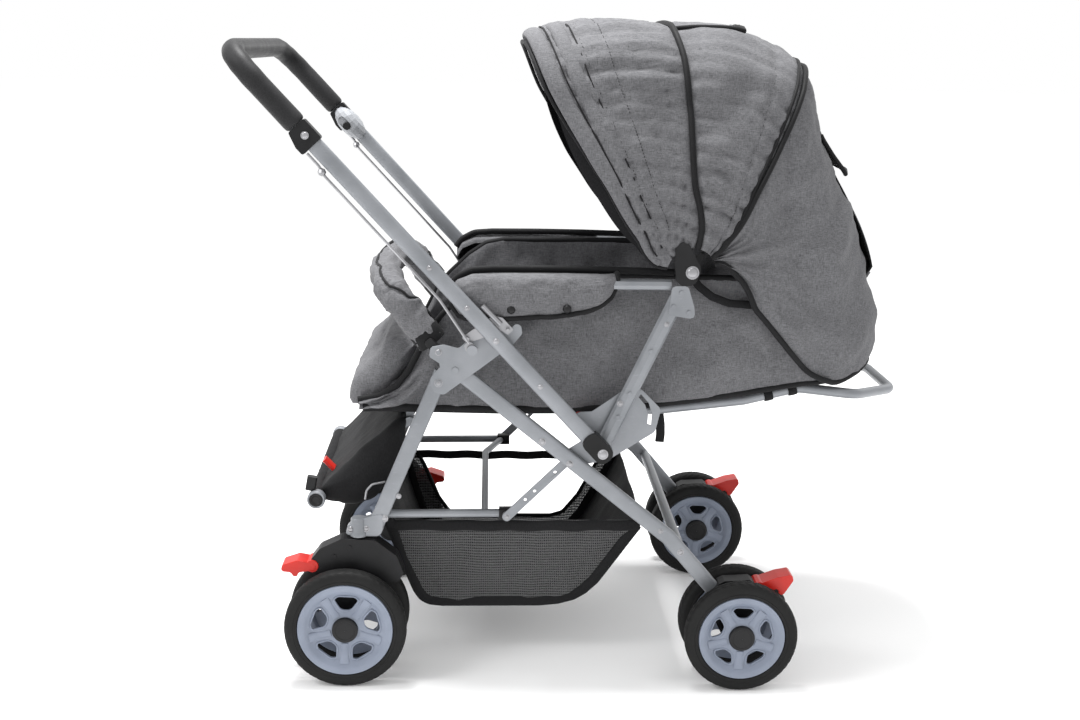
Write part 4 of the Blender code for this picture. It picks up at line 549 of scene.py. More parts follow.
def rim_mesh(name, radius):
    """The turned rim with its five openings cut, their lips raised and all edges rounded."""
    edge = radius - TYRE_HEIGHT
    k = edge / 0.072
    profile = [
        (0.0, 0.0085), (0.0185, 0.0085), (0.0235, 0.0078), (0.0280, 0.0058), (0.0400, 0.0048),
        (0.0520 * k, 0.0044), (0.0570 * k, 0.0062), (0.0610 * k, 0.0105), (0.0650 * k, 0.0122),
        (0.0725 * k, 0.0128), (0.0732 * k, 0.0112), (0.0732 * k, -0.0112), (0.0725 * k, -0.0125),
        (0.0650 * k, -0.0120), (0.0600 * k, -0.0095), (0.0565 * k, -0.0020), (0.0500 * k, -0.0006),
        (0.0280, -0.0006), (0.0240, -0.0060), (0.0150, -0.0125), (0.0, -0.0125),
    ]
    verts, faces = turned(profile, (0, 0, 0), "y", -1, 120)
    rim = made(name, verts, faces, rim_plastic, 35)
    bag = ([], [])
    for i in range(SPOKES):
        middle = math.tau * (i + 0.215) / SPOKES
        inner_r, outer_r = 0.0305, 0.0548 * k
        corners = []
        for r, spread in ((inner_r, -15), (outer_r * 0.93, -23), (outer_r, -14), (outer_r, 14),
                          (outer_r * 0.93, 23), (inner_r, 15)):
            a = middle + math.radians(spread)
            corners.append((r * math.cos(a), r * math.sin(a)))
        outline = rounded_outline(corners, 0.0065, 6)
        cutter = stamped(f"{name}_cutter_{i}", outline, 0, 0.06, rim_plastic, 0.0001)
        opening = rim.modifiers.new("opening", "BOOLEAN")
        opening.operation = "DIFFERENCE"
        opening.solver = "EXACT"
        opening.object = cutter
        alone(rim)
        bpy.ops.object.modifier_apply(modifier="opening")
        bpy.data.objects.remove(cutter, do_unlink=True)
        lip = [(x, -0.0052, z) for x, z in outline]
        add_to(bag, *tube_mesh(lip + lip[:2], 0.0030, 0.0030, sides=8, closed=False))
    for i in range(SPOKES):
        middle = math.tau * (i + 0.715) / SPOKES
        ray = Vector((math.cos(middle), 0, math.sin(middle)))
        path = [ray * r + Vector((0, -h, 0)) for r, h in
                ((0.0225, 0.0070), (0.0300, 0.0052), (0.0440 * k, 0.0040), (0.0580 * k, 0.0060))]
        add_to(bag, *tube_mesh(path, [0.0130, 0.0105, 0.0120, 0.0160], [0.0046, 0.0040, 0.0040, 0.0050],
                               (0, 1, 0), 16, 2.6))
    ribs = made(f"{name}_ribs", *bag, rim_plastic, 50)
    alone(rim)
    ribs.select_set(True)
    bpy.ops.object.join()
    shaded(rim, 35)
    return rim


cap_profile = [(0.0200, 0.0060), (0.0200, 0.0128), (0.0193, 0.0140), (0.0175, 0.0147), (0.0150, 0.0149),
               (0.0146, 0.0144), (0.0120, 0.0146), (0.0060, 0.0153), (0.0004, 0.0155)]
PAIR_HALF = 0.036
WHEELS = (
    ("front", 0.094, FRONT_LEG_Y, {"near": -0.363, "far": -0.325}),
    ("rear", 0.0875, REAR_LEG_Y, {"near": 0.246, "far": 0.246}),
)
for prefix, radius, track, axle_x in WHEELS:
    patterns = (
        ("tyre", "tyre", made("tyre_pattern", *tyre_bag(radius), tyre_rubber, 24)),
        ("rim", "white_plastic", rim_mesh("rim_pattern", radius)),
        ("cap", "black_plastic",
         made("cap_pattern", *turned(cap_profile, (0, 0, 0), "y", -1), cap_plastic, 35)),
    )
    for label, side in SIDES:
        for place, way in (("outer", 1), ("inner", -1)):
            node = f"{prefix}_wheel_{label}_{place}"
            facing = Matrix.Rotation(0 if side * way < 0 else math.pi, 4, "Z")
            where = Matrix.Translation((axle_x[label], side * (track + way * PAIR_HALF), radius))
            for kind, slot, pattern in patterns:
                mesh = pattern.data.copy()
                mesh.transform(where @ facing)
                piece = bpy.data.objects.new(f"{node}_{kind}", mesh)
                bpy.context.scene.collection.objects.link(piece)
                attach(piece, f"{node}_body")
                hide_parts(node)
    for _, _, pattern in patterns:
        bpy.data.objects.remove(pattern, do_unlink=True)

# Side braces
# Round silver tubes low down between the legs, with black joint blocks and punched flat links
# up to the rear legs. They break in the middle when the pushchair folds.
BRACE_JOINT = (-0.116, 0.2615)
BRACE_Y = 0.205
tubes, blocks = ([], []), ([], [])
for side in (-1, 1):
    y = side * BRACE_Y
    add_to(tubes, *tube_mesh([at((-0.309, 0.2599), y), at((-0.120, 0.2615), y)], 0.013, 0.013, sides=24))
    ends = [at((-0.128, 0.2612), y), at((-0.106, 0.2615), y)]
    add_to(blocks, *tube_mesh(ends, 0.018, 0.018, (0, 1, 0), 24, 7))
cross_path = softened([(-0.150, -BRACE_Y, 0.2615), (-0.150, 0.120, 0.2615), (-0.120, BRACE_Y, 0.2615)], 0.03)
add_to(tubes, *tube_mesh(cross_path, 0.011, 0.011, sides=20))
brace_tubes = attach(made("brace_tubes", *tubes, silver, 50), "brace")
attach(made("brace_joint_blocks", *blocks, black_plastic, 35), "brace")
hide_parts("brace_frame")
spots = [(*BRACE_JOINT, 0.2136, side, 1.2) for side in (-1, 1)]
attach(made("brace_bolts", *rivet_bag(spots), steel, 50), "brace")
dressed(["brace_link_near", "brace_link_far"], silver, 0.0004)
for label, side in SIDES:
    bag = rivet_bag([(*BRACE_JOINT, 0.2238, side, 0.9)])
    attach(made(f"link_rivet_{label}", *bag, steel, 50), f"link_{label}")

# Handle
# One flat-oval painted tube bent to a U, with a closed-cell foam sleeve over the bend, black
# latch boxes under it, and the rods that lift the locks. It swings over to the other end.
HANDLE_ANGLE = math.radians(132.8)
HANDLE_WAY = Vector((math.cos(HANDLE_ANGLE), 0, math.sin(HANDLE_ANGLE)))
HANDLE_NORMAL = Vector((-HANDLE_WAY.z, 0, HANDLE_WAY.x))
HANDLE_Y, HANDLE_FACE = 0.262, 0.2678
HANDLE_LENGTH = 0.795
GRIP_START = 0.655


def up_handle(distance, y):
    return at(HANDLE_PIVOT, y) + HANDLE_WAY * distance


def handle_path(start):
    corners = [up_handle(start, -HANDLE_Y), up_handle(HANDLE_LENGTH, -HANDLE_Y),
               up_handle(HANDLE_LENGTH, HANDLE_Y), up_handle(start, HANDLE_Y)]
    return softened(corners, 0.075, 14)


foam = Finish("foam_sleeve", "black_foam", 0.60, Sheen_Weight=0.06, Sheen_Roughness=0.4,
              Specular_IOR_Level=0.22)
pores = foam.noise(900, detail=2)
patches = foam.noise(30, detail=4)
worn_share = foam.level(pores * 0.6 + patches * 0.4, 0.35, 0.65)
foam.set("Base Color", foam.between(worn_share, (0.009, 0.009, 0.0095), (0.022, 0.022, 0.0235)))
foam.set("Roughness", foam.level(patches, 0.3, 0.7, 0.46, 0.64))
foam.bump(pores + foam.noise(260, detail=2) * 0.8, 0.30, 0.0006)
bag = tube_mesh(handle_path(0.028), 0.012, 0.024, tuple(HANDLE_NORMAL), 28, 2.4)
handle_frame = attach(made("handle_frame", *bag, silver, 50), "handle")
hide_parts("handle_tube")
path = handle_path(GRIP_START)
path = [p for pair in zip(path, [(a + b) / 2 for a, b in zip(path, path[1:])]) for p in pair] + [path[-1]]
lip_steps = (0, 0.0012, 0.0035, 0.008)
first = [path[0] + (path[1] - path[0]).normalized() * d for d in lip_steps]
last = [path[-1] + (path[-2] - path[-1]).normalized() * d for d in reversed(lip_steps)]
path = first + path[1:-1] + last
count = len(path)
ends = {0: 0.78, 1: 0.90, 2: 0.97, count - 1: 0.78, count - 2: 0.90, count - 3: 0.97}
swell = [ends.get(i, 1.0) * (1 + 0.012 * math.sin(i * 0.9)) for i in range(count)]
bag = tube_mesh(path, [0.0285 * s for s in swell], [0.0325 * s for s in swell], tuple(HANDLE_NORMAL), 32, 2.1)
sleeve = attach(made("handle_foam_sleeve", *bag, foam, 60), "handle")
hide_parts("handle_grip")
white_plastic = moulded(
    "white_plastic_satin", "white_plastic", (0.235, 0.245, 0.260), (0.315, 0.325, 0.345), 0.38, 0.05
)
dressed(["latch_box_near", "latch_box_far", "pivot_block_near", "pivot_block_far", "release_knob"],
        black_plastic, 0.0012)
dressed(["release_housing"], white_plastic, 0.0040)
dressed(["lock_rod_near", "lock_rod_far"], steel, 0.0)
for label, side in SIDES:
    spots = [(*HANDLE_PIVOT, 0.2714, side, 1.5), (-0.135, 0.5482, HANDLE_FACE, side, 0.9)]
    for distance, face, size in ((0.636, 0.2723, 1.1), (0.140, HANDLE_FACE, 0.8), (0.300, HANDLE_FACE, 0.8),
                                 (0.380, HANDLE_FACE, 0.8)):
        middle = up_handle(distance, 0)
        spots.append((middle.x, middle.z, face, side, size))
    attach(made(f"handle_rivets_{label}", *rivet_bag(spots), steel, 50), "handle")

# Recline tube
# A round painted tube that carries the backrest: it runs back from the recline plates under
# the tub and round behind its head end.
RECLINE_Y = 0.176
far_half = [
    (0.052, RECLINE_Y, 0.423), (0.116, RECLINE_Y, 0.422), (0.251, RECLINE_Y, 0.4375),
    (0.335, RECLINE_Y, 0.458), (0.430, 0.166, 0.445), (0.512, 0.076, 0.432),
]
near_half = [(x, -y, z) for x, y, z in far_half]
bag = tube_mesh(softened(near_half + far_half[::-1], 0.05, 8), 0.016, 0.016, sides=24)
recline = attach(made("recline_frame", *bag, silver, 50), "backrest")
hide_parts("recline_tube")

# Canopy
# Three padded panels of grey heather cloth with a black lining, sewn over steel bows that turn
# on black hub plates. Black piping covers the middle and rear bows and runs round the hem.
heather = Finish("grey_heather_weave", "grey_heather", 0.92, Sheen_Weight=0.05, Sheen_Roughness=0.5,
                 Specular_IOR_Level=0.25)
warp = heather.noise(1, (1100, 1100, 120), 3, 0.65)
weft = heather.noise(1, (120, 240, 1150), 3, 0.65)
yarn = heather.level(warp * 0.5 + weft * 0.5, 0.34, 0.66)
cloud = heather.level(heather.noise(9, detail=4), 0.3, 0.7)
wale = heather.level(heather.noise(1, (330, 330, 40), 2, 0.6), 0.38, 0.62)
shade = heather.between(yarn, (0.043, 0.043, 0.0457), (0.196, 0.196, 0.206))
shade = heather.between(cloud * 0.22, shade, (0.080, 0.080, 0.084))
heather.set("Base Color", heather.between(wale * 0.16, shade, (0.185, 0.185, 0.195)))
heather.set("Roughness", heather.level(yarn, 0, 1, 0.84, 0.96))
heather.bump(warp * 0.5 + weft * 0.5 + heather.noise(240, detail=2) * 0.35, 0.55, 0.0007)


def plain_black_cloth(name, light, roughness, rib):
    finish = Finish(name, "black_cloth", roughness, Sheen_Weight=0.03, Specular_IOR_Level=0.18)
    ribs = finish.noise(1, rib, 2, 0.6)
    cloud = finish.noise(16, detail=4)
    light_share = finish.level(ribs * 0.6 + cloud * 0.4, 0.35, 0.65)
    finish.set("Base Color", finish.between(light_share, (0.004, 0.004, 0.0045), light))
    finish.set("Roughness", finish.level(cloud, 0.3, 0.7, roughness - 0.08, roughness + 0.08))
    finish.bump(ribs + cloud * 0.5, 0.40, 0.0006)
    return finish


piping = plain_black_cloth("black_piping", (0.013, 0.013, 0.014), 0.70, (700, 700, 700))
black_cloth = plain_black_cloth("black_nylon", (0.012, 0.012, 0.013), 0.78, (900, 900, 260))
lining = plain_black_cloth("black_lining", (0.010, 0.010, 0.011), 0.85, (600, 600, 600))

HUB = (0.153, 0.649)
# The canopy's reach from the hub at each angle, and each panel's edges: an angle by share of reach
REACH = (
    (126.0, 0.412), (110.0, 0.378), (94.0, 0.352), (76.0, 0.350), (57.0, 0.340),
    (40.0, 0.284), (20.0, 0.268), (-8.0, 0.291), (-27.0, 0.338), (-44.0, 0.345),
)
FRONT_EDGE = ((1.0, 126), (0.8, 129), (0.56, 132), (0.39, 136.5), (0.22, 149), (0.12, 170))
MID_EDGE = ((1.0, 94.4), (0.87, 93), (0.66, 91.8), (0.35, 89.5), (0.15, 78))
REAR_EDGE = ((1.0, 59), (0.9, 58), (0.69, 55.5), (0.43, 51), (0.2, 41), (0.1, 36))
HEM_EDGE = ((1.0, -27), (0.95, -31), (0.86, -37.5), (0.66, -39.5), (0.33, -30), (0.20, -6), (0.12, 18))
FRONT_PANEL = (FRONT_EDGE, MID_EDGE, (126.0, 94.6))
MID_PANEL = (MID_EDGE, REAR_EDGE, (94.0, 58.6))
REAR_PANEL = (REAR_EDGE, HEM_EDGE, (57.6, -33.0))
CANOPY_HALF, CANOPY_CORNER, CANOPY_ROOT = 0.208, 0.11, 0.036
PANEL_COLUMNS = 141
# Two bodies for each panel, and where one gives way to the other
FRONT_BEND = ("canopy_middle", "canopy_nose", (0.075, 0, 0.90), (-0.03, 0, 0.93))
MID_BEND = ("frame", "canopy_middle", (0.31, 0, 0.93), (0.15, 0, 0.98))
REAR_BEND = ("frame", "backrest", (0.30, 0, 0.66), (0.40, 0, 0.50))


def curve_spot(p0, p1, p2, p3, t):
    """The spot at t between p1 and p2 on the smooth curve through four points or numbers."""
    return 0.5 * (2 * p1 + (p2 - p0) * t + (2 * p0 - 5 * p1 + 4 * p2 - p3) * t ** 2
                  + (3 * p1 - p0 - 3 * p2 + p3) * t ** 3)


def smooth_table(table, x):
    """The value at x on a smooth curve through a table of falling x values."""
    count = len(table)
    for i in range(count - 1):
        if table[i + 1][0] <= x <= table[i][0]:
            break
    else:
        return table[0][1] if x > table[0][0] else table[-1][1]
    around = (table[max(0, min(count - 1, i + k))][1] for k in (-1, 0, 1, 2))
    return curve_spot(*around, (table[i][0] - x) / (table[i][0] - table[i + 1][0]))


def rib_spot(reach, s):
    """(distance from hub, y, outward direction, run) at s from -1, the near root, to 1, the far one."""
    flat, arc = CANOPY_HALF - CANOPY_CORNER, CANOPY_CORNER * math.pi / 2
    side = reach - CANOPY_CORNER - CANOPY_ROOT
    down = abs(s) * (flat + arc + side)
    sign = 1 if s > 0 else -1
    if down <= flat:
        share = down / flat
        return reach + 0.003 * (1 - share ** 2), sign * down, (1.0, 0.0), down
    if down <= flat + arc:
        a = (down - flat) / CANOPY_CORNER
        r = reach - CANOPY_CORNER + CANOPY_CORNER * math.cos(a)
        return r, sign * (flat + CANOPY_CORNER * math.sin(a)), (math.cos(a), sign * math.sin(a)), down
    r = reach - CANOPY_CORNER - (down - flat - arc)
    low = min(1.0, (reach - CANOPY_CORNER - r) / side)
    return r, sign * (CANOPY_HALF + 0.030 * (1 - (1 - low) ** 2.6)), (0.0, sign * 1.0), down


def canopy_spot(panel, t, s, lift=0.0):
    """A point t of the way across a panel and s along the rib, and its run from the crown."""
    start, end, span = panel
    reach = smooth_table(REACH, span[0] + (span[1] - span[0]) * t)
    r, y, way, down = rib_spot(reach, s)
    share = min(1.0, r / reach)
    a, b = smooth_table(start, share), smooth_table(end, share)
    turn = math.radians(a + (b - a) * t)
    r += way[0] * lift
    y += way[1] * lift
    return Vector((HUB[0] + r * math.cos(turn), y, HUB[1] + r * math.sin(turn))), down


def folds(a, b, seed):
    """Soft noise from -1 to 1 for the lie of the cloth."""
    return noise.noise(Vector((a, b, seed))) + 0.5 * noise.noise(Vector((2.1 * a, 2.1 * b, seed + 7)))


def apply_all(piece):
    alone(piece)
    for modifier in list(piece.modifiers):
        bpy.ops.object.modifier_apply(modifier=modifier.name)
    piece.select_set(False)


def cloth(name, rows, finishes, thickness, inside):
    """A sewn sheet through these rows of points, given its thickness towards the inside point."""
    columns = len(rows[0])
    faces = [(i * columns + j, i * columns + j + 1, (i + 1) * columns + j + 1, (i + 1) * columns + j)
             for i in range(len(rows) - 1) for j in range(columns - 1)]
    piece = made(name, [p for row in rows for p in row], faces, finishes, 70)
    mesh = piece.data
    outward = sum((p.center - Vector(inside)).dot(p.normal) * p.area for p in mesh.polygons)
    if outward < 0:
        mesh.flip_normals()
    wall = piece.modifiers.new("thickness", "SOLIDIFY")
    wall.thickness = thickness
    wall.offset = -1
    if len(finishes) > 1:
        wall.material_offset = 1
        wall.material_offset_rim = 1
    apply_all(piece)
    shaded(piece, 70)
    return piece


def cord_along(name, path, width, finish, deep=None, across=None):
    """Piping, binding or a strap: sewn stuff of this width along a path."""
    return made(name, *tube_mesh(path, width, deep or width, across, 12), finish, 60)


def stitches(bag, points, normals, pitch=0.0052, dash=0.0031, wide=0.0008, proud=0.0002):
    """Dashes of thread along a line that lies on the cloth."""
    travelled, following = 0.0, 0.0
    for (a, b), normal in zip(zip(points, points[1:]), normals):
        step = (b - a).length
        while following < travelled + step:
            start = a + (b - a) * ((following - travelled) / step)
            way = (b - a).normalized()
            ends = [start + normal * proud, start + way * dash + normal * proud]
            add_to(bag, *tube_mesh(ends, wide, wide, tuple(normal), 4))
            following += pitch
        travelled += step


def panel_rows(panel, rows, shape):
    made_rows = []
    for i in range(rows):
        t = i / (rows - 1)
        row = []
        for j in range(PANEL_COLUMNS):
            s = -1 + 2 * j / (PANEL_COLUMNS - 1)
            down = canopy_spot(panel, t, s)[1]
            row.append(canopy_spot(panel, t, s, shape(t, s, down))[0])
        made_rows.append(row)
    return made_rows


def gathers(first, second, down, seed, pitch, first_size, second_size, reach=0.042):
    """Gathers that run off the two sewn edges of a panel, this far away, and die out between."""
    phase = math.pi * down / pitch + 1.5 * folds(down * 14, seed, 3.0) + min(first, second) * 5
    ripple = abs(math.sin(phase)) ** 0.55 - 0.40
    strength = 0.55 + 1.1 * max(0.0, folds(down * 9, seed * 3, 1.0) + 0.3)
    total = 0.0
    for distance, size in ((first, first_size), (second, second_size)):
        total += size * min(1.0, distance / 0.007) * math.exp(-((distance / reach) ** 1.3))
    return strength * ripple * min(total, 1.25 * max(first_size, second_size))


def dip(place, line, width, size):
    """How deep a sewn line of this width draws the cloth in at this place."""
    return size * math.exp(-(((place - line) / width) ** 2))


def front_shape(t, s, down):
    span = 0.10 * (1 - 0.55 * min(1.0, down / 0.42))
    side = -1 if s < 0 else 1
    lift = 0.0035 * math.sin(math.pi * t) ** 0.7
    lift += gathers(t * span, (1 - t) * span, down, 4.1 + side, 0.025, 0.0030, 0.0085)
    lift += 0.0095 * folds(down * 24, t * 1.6 + side * 3, 11) * math.sin(math.pi * t)
    lift += 0.0012 * folds(down * 60, t * 7, 17)
    return lift - dip(t, 0.30, 0.030, 0.0030) - dip(t, 0.46, 0.018, 0.0018)


def mid_shape(t, s, down):
    span = 0.21 * (1 - 0.75 * min(1.0, down / 0.42))
    side = -1 if s < 0 else 1
    lift = 0.0040 * math.sin(math.pi * t) ** 0.8
    lift += gathers(t * span, (1 - t) * span, down, 6.0 + side, 0.026, 0.0095, 0.0060, 0.050)
    lift += 0.0105 * folds(down * 22, t * 1.8 + side * 5, 23) * math.sin(math.pi * t)
    lift += 0.0012 * folds(down * 55, t * 8, 29)
    return lift - dip(t, 0.74, 0.022, 0.0026)


def rear_shape(t, s, down):
    side = -1 if s < 0 else 1
    lift = 0.0030 * math.sin(math.pi * t)
    lift += gathers(t * 0.30, (1 - t) * 0.30, down, 12.0 + side, 0.034, 0.0040, 0.0010)
    lift += 0.0100 * folds(down * 9 + t * 3, t * 5 - down * 6 + side * 2, 31) * min(1.0, 5 * t)
    small = 0.0034 * folds(down * 26, t * 16, 37) + 0.0008 * folds(down * 70, t * 40, 41)
    return lift + small * min(1.0, 30 * t)


def edge_path(panel, t, lift, reach=1.0):
    """A line along a panel, this far off the cloth and this share of its length."""
    shares = [(-1 + 2 * j / (PANEL_COLUMNS - 1)) * reach for j in range(PANEL_COLUMNS)]
    return [canopy_spot(panel, t, s, lift)[0] for s in shares]


def line_on(panel, t, shape, reach, steps=400):
    """Points and outward directions of a line that lies on a panel's cloth."""
    points, outs = [], []
    for j in range(steps + 1):
        s = (-1 + 2 * j / steps) * reach
        lift = shape(t, s, canopy_spot(panel, t, s)[1])
        low = canopy_spot(panel, t, s, lift)[0]
        high = canopy_spot(panel, t, s, lift + 0.01)[0]
        points.append(low)
        outs.append((high - low).normalized())
    return points, outs


hub_place = (HUB[0], 0, HUB[1] + 0.05)
for part, panel, rows, shape, thick, bend, flat, area in (
    ("front", FRONT_PANEL, 29, front_shape, 0.0028, FRONT_BEND, (1.16, 0.235), 0.193),
    ("mid", MID_PANEL, 37, mid_shape, 0.0028, MID_BEND, (1.12, 0.235), 0.163),
    ("rear", REAR_PANEL, 65, rear_shape, 0.0026, REAR_BEND, (1.00, 0.52), 0.311),
):
    piece = cloth(f"canopy_{part}_panel", panel_rows(panel, rows, shape), [heather, lining], thick, hub_place)
    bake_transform(piece)
    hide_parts(f"canopy_{part}")

# The double roll of padding along the front edge
for name, t, wide, deep in (("outer", 0.045, 0.026, 0.015), ("inner", 0.190, 0.023, 0.012)):
    path = edge_path(FRONT_PANEL, t, 0.0015, 0.975)
    beside = edge_path(FRONT_PANEL, t + 0.05, 0.0015, 0.975)
    count, sides = len(path), 20
    verts = []
    for i, place in enumerate(path):
        taper = min(1.0, 0.35 + 4.5 * min(i, count - 1 - i) / count)
        plump = 1 + 0.045 * folds(i * 0.21, 1.0, 50.0 + t)
        way = heading(path, i)
        wide_way = beside[i] - place
        wide_way = (wide_way - way * wide_way.dot(way)).normalized()
        thick_way = way.cross(wide_way)
        for k in range(sides):
            a = math.tau * k / sides
            verts.append(place + wide_way * (wide / 2 * taper * math.cos(a))
                         + thick_way * (deep / 2 * taper * plump * math.sin(a)))
    roll = made(f"canopy_front_roll_{name}", verts, ring_faces(count, sides), heather, 70)
    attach(roll, "canopy_nose")

# Sewn lines between the rolls
for name, t, lift in (("a", 0.118, 0.0052), ("b", 0.272, 0.0022)):
    line = cord_along(f"canopy_roll_line_{name}", edge_path(FRONT_PANEL, t, lift, 0.96), 0.0024, piping)
    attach(line, "canopy_nose")

# The black lining that hangs inside the front edge
for label, side in SIDES:
    rows = []
    for i in range(41):
        u = i / 40
        drop = 0.30 * math.sin(math.pi * u) ** 0.7 * (0.35 + 0.65 * u)
        row = []
        for k in range(9):
            lift = -0.004 - 0.010 * (k / 8) - 0.001 * folds(u * 14, k * 0.4, 58)
            row.append(canopy_spot(FRONT_PANEL, 0.03 - drop * k / 8, side * (0.42 + 0.55 * u), lift)[0])
        rows.append(row)
    hang = cloth(f"canopy_lining_edge_{label}", rows, [lining], 0.0016, hub_place)
    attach(hang, "canopy_nose")

# Piping over the bows and along the front edge, and the zip
for name, body, panel, t, lift, width, reach in (
    ("front_piping", "canopy_nose", FRONT_PANEL, -0.035, -0.004, 0.0062, 1.0),
    ("mid_piping", "canopy_middle", MID_PANEL, 0.0, 0.0048, 0.0092, 1.0),
    ("rear_piping", "frame", MID_PANEL, 1.0, 0.0045, 0.0082, 1.0),
    ("zip", "frame", MID_PANEL, 0.935, 0.0045, 0.0052, 0.95),
):
    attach(cord_along(f"canopy_{name}", edge_path(panel, t, lift, reach), width, piping), body)
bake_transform(cord_along("canopy_hem", edge_path(REAR_PANEL, 1.0, 0.0), 0.0088, piping))
for name, panel, t, shape, bend in (
    ("front_a", FRONT_PANEL, 0.30, front_shape, FRONT_BEND),
    ("front_b", FRONT_PANEL, 0.46, front_shape, FRONT_BEND),
    ("mid", MID_PANEL, 0.74, mid_shape, MID_BEND),
):
    bag = ([], [])
    stitches(bag, *line_on(panel, t, shape, 0.93))
    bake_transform(made(f"canopy_stitches_{name}", *bag, piping, 60))

# Canopy bows and hub plates
# Flat-ended steel bows, blackened, turn on one rivet in each black moulded hub plate.
dressed(["canopy_rear_bow"], black_plastic, 0.0010)
dressed(["canopy_mid_bow", "canopy_front_bow"], black_plastic, 0.0)
for label, side in SIDES:
    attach(made(f"hub_rivet_{label}", *rivet_bag([(*HUB, 0.2478, side, 1.9)]), steel, 50), "frame")

# Gondola
# The tub: padded side walls that hang from the armrests, a soft foot end, and a head
# end. The edges are bound in black, and the lining is the same cloth.
RIM_Z = 0.632
WALL_Y, WALL_THICK = 0.190, 0.008
HEAD_START, HEAD_TURN, HEAD_RADIUS = 0.0800, 0.336, 0.096
FOOT_LINE = ((-0.120, RIM_Z), (-0.150, 0.626), (-0.180, 0.606), (-0.2150, 0.572), (-0.2360, 0.546),
             (-0.2530, 0.5117), (-0.2680, 0.4830), (-0.2860, 0.4600), (-0.3130, 0.4440), (-0.345, 0.438))
WALL_BOTTOM = ((-0.345, 0.424), (-0.300, 0.4245), (-0.130, 0.4215), (0.000, 0.4225), (0.080, 0.4265),
               (0.165, 0.4370), (0.251, 0.4500), (0.335, 0.4650), (0.436, 0.4720))


def steps_table(table, x):
    for (a, za), (b, zb) in zip(table, table[1:]):
        if min(a, b) <= x <= max(a, b):
            return za + (zb - za) * (x - a) / (b - a)
    return table[0][1] if abs(x - table[0][0]) < abs(x - table[-1][0]) else table[-1][1]


def wall_top(x):
    if x < -0.120:
        return steps_table(FOOT_LINE, x)
    return steps_table(((-0.120, RIM_Z), (0.080, RIM_Z), (0.300, 0.629), (0.436, 0.612)), x)


def wall_ring(place, out, run, close, rows=22, seed=9):
    """A closed ring up the outside of a wall at this place, over its rim and down the inside. run is
    how far along the tub it stands, and close dies out at the wall's ends."""
    low, high = steps_table(WALL_BOTTOM, place.x), wall_top(place.x)

    def lean(t):
        """How far the whole wall leans in or out at t up its height: the lie of slack cloth."""
        slack = 0.0170 * folds(run * 9 - t * 1.2, t * 1.7, seed)
        slack += 0.0090 * folds(run * 20 + t * 3, t * 3 - run * 6, seed + 31)
        return max(slack + 0.0030, -0.018 * t) * math.sin(math.pi * t) ** 0.7

    def at_height(t, off):
        return place + out * off + Vector((0, 0, low + (high - low) * t))

    ring = []
    for i in range(rows):
        t = i / (rows - 1)
        dent = math.sin(math.pi * min(1.0, t * 1.1)) * 0.0025
        lie = 0.0016 * folds(run * 21 + t * 2, t * 3.1 - run * 8, seed + 3)
        dent += lie * math.sin(math.pi * t) ** 0.6 + 0.0010 * folds(run * 60, t * 11, seed + 5) * close
        ring.append(at_height(t, WALL_THICK / 2 + dent + lean(t)))
    for i in range(1, 4):
        a = math.pi * i / 4
        ring.append(place + out * (WALL_THICK / 2 * math.cos(a))
                    + Vector((0, 0, high + WALL_THICK * 0.4 * math.sin(a))))
    for i in range(rows):
        t = 1 - i / (rows - 1)
        lie = 0.0022 * folds(run * 12, t * 2.2, seed + 20) + 0.0014 * folds(run * 34, t * 5, seed + 23)
        ring.append(at_height(t, lean(t) - WALL_THICK / 2 - lie * math.sin(math.pi * t) ** 0.6))
    return ring


def wall(name, stations):
    """A padded wall through stations of (place, outward direction, run)."""
    count = len(stations)
    rows = []
    for i, (place, out, run) in enumerate(stations):
        rows.append(wall_ring(place, out, run, min(1.0, 8 * min(i, count - 1 - i) / count)))
    return made(name, [p for row in rows for p in row], ring_faces(count, len(rows[0])), heather, 60)


for label, side in SIDES:
    stations = []
    for i in range(96):
        x = HEAD_START - (HEAD_START + 0.343) * i / 95
        stations.append((Vector((x, side * WALL_Y, 0)), Vector((0, side, 0)), x))
    tub_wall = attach(wall(f"tub_wall_{label}", stations), "frame")
    if label == "near":
        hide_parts("gondola_tub")
    rim = [Vector((x, side * WALL_Y, wall_top(x) + 0.0015)) for x in [0.086 - 0.0045 * k for k in range(46)]]
    edge = [Vector((x, side * 0.191, z + 0.001)) for x, z in FOOT_LINE]
    path = softened(rim + edge, 0.02, 2)
    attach(cord_along(f"tub_edge_{label}", path, 0.0105, piping, 0.0098), "frame")
    band = [Vector((x, side * 0.1925, steps_table(WALL_BOTTOM, x) + 0.003))
            for x in [0.079 - 0.0085 * k for k in range(50)]]
    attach(cord_along(f"tub_band_{label}", band, 0.0135, piping, 0.0110, (0, 1, 0)), "frame")

# Floor of the tub, with the soft foot end that rolls down over it
rows = []
for i in range(41):
    x = 0.040 - (0.040 + 0.300) * i / 40
    rows.append([Vector((x, -0.187 + 0.374 * j / 40, 0.4365 + 0.0012 * folds(x * 30, j * 0.3, 60)))
                 for j in range(41)])
tub_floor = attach(cloth("tub_floor", rows, [heather, black_cloth], 0.0100, (-0.13, 0, 0.2)), "frame")
foot_section = (
    (-0.262, 0.522), (-0.282, 0.530), (-0.302, 0.527), (-0.313, 0.512), (-0.322, 0.500),
    (-0.342, 0.484), (-0.356, 0.462), (-0.361, 0.432), (-0.352, 0.421), (-0.334, 0.418),
    (-0.312, 0.428), (-0.296, 0.446), (-0.279, 0.474), (-0.263, 0.500),
)


def closed_curve(points, per):
    """A smooth closed curve through these points."""
    count, out = len(points), []
    for i in range(count):
        around = [Vector(points[(i + k) % count]) for k in (-1, 0, 1, 2)]
        out += [curve_spot(*around, step / per) for step in range(per)]
    return out


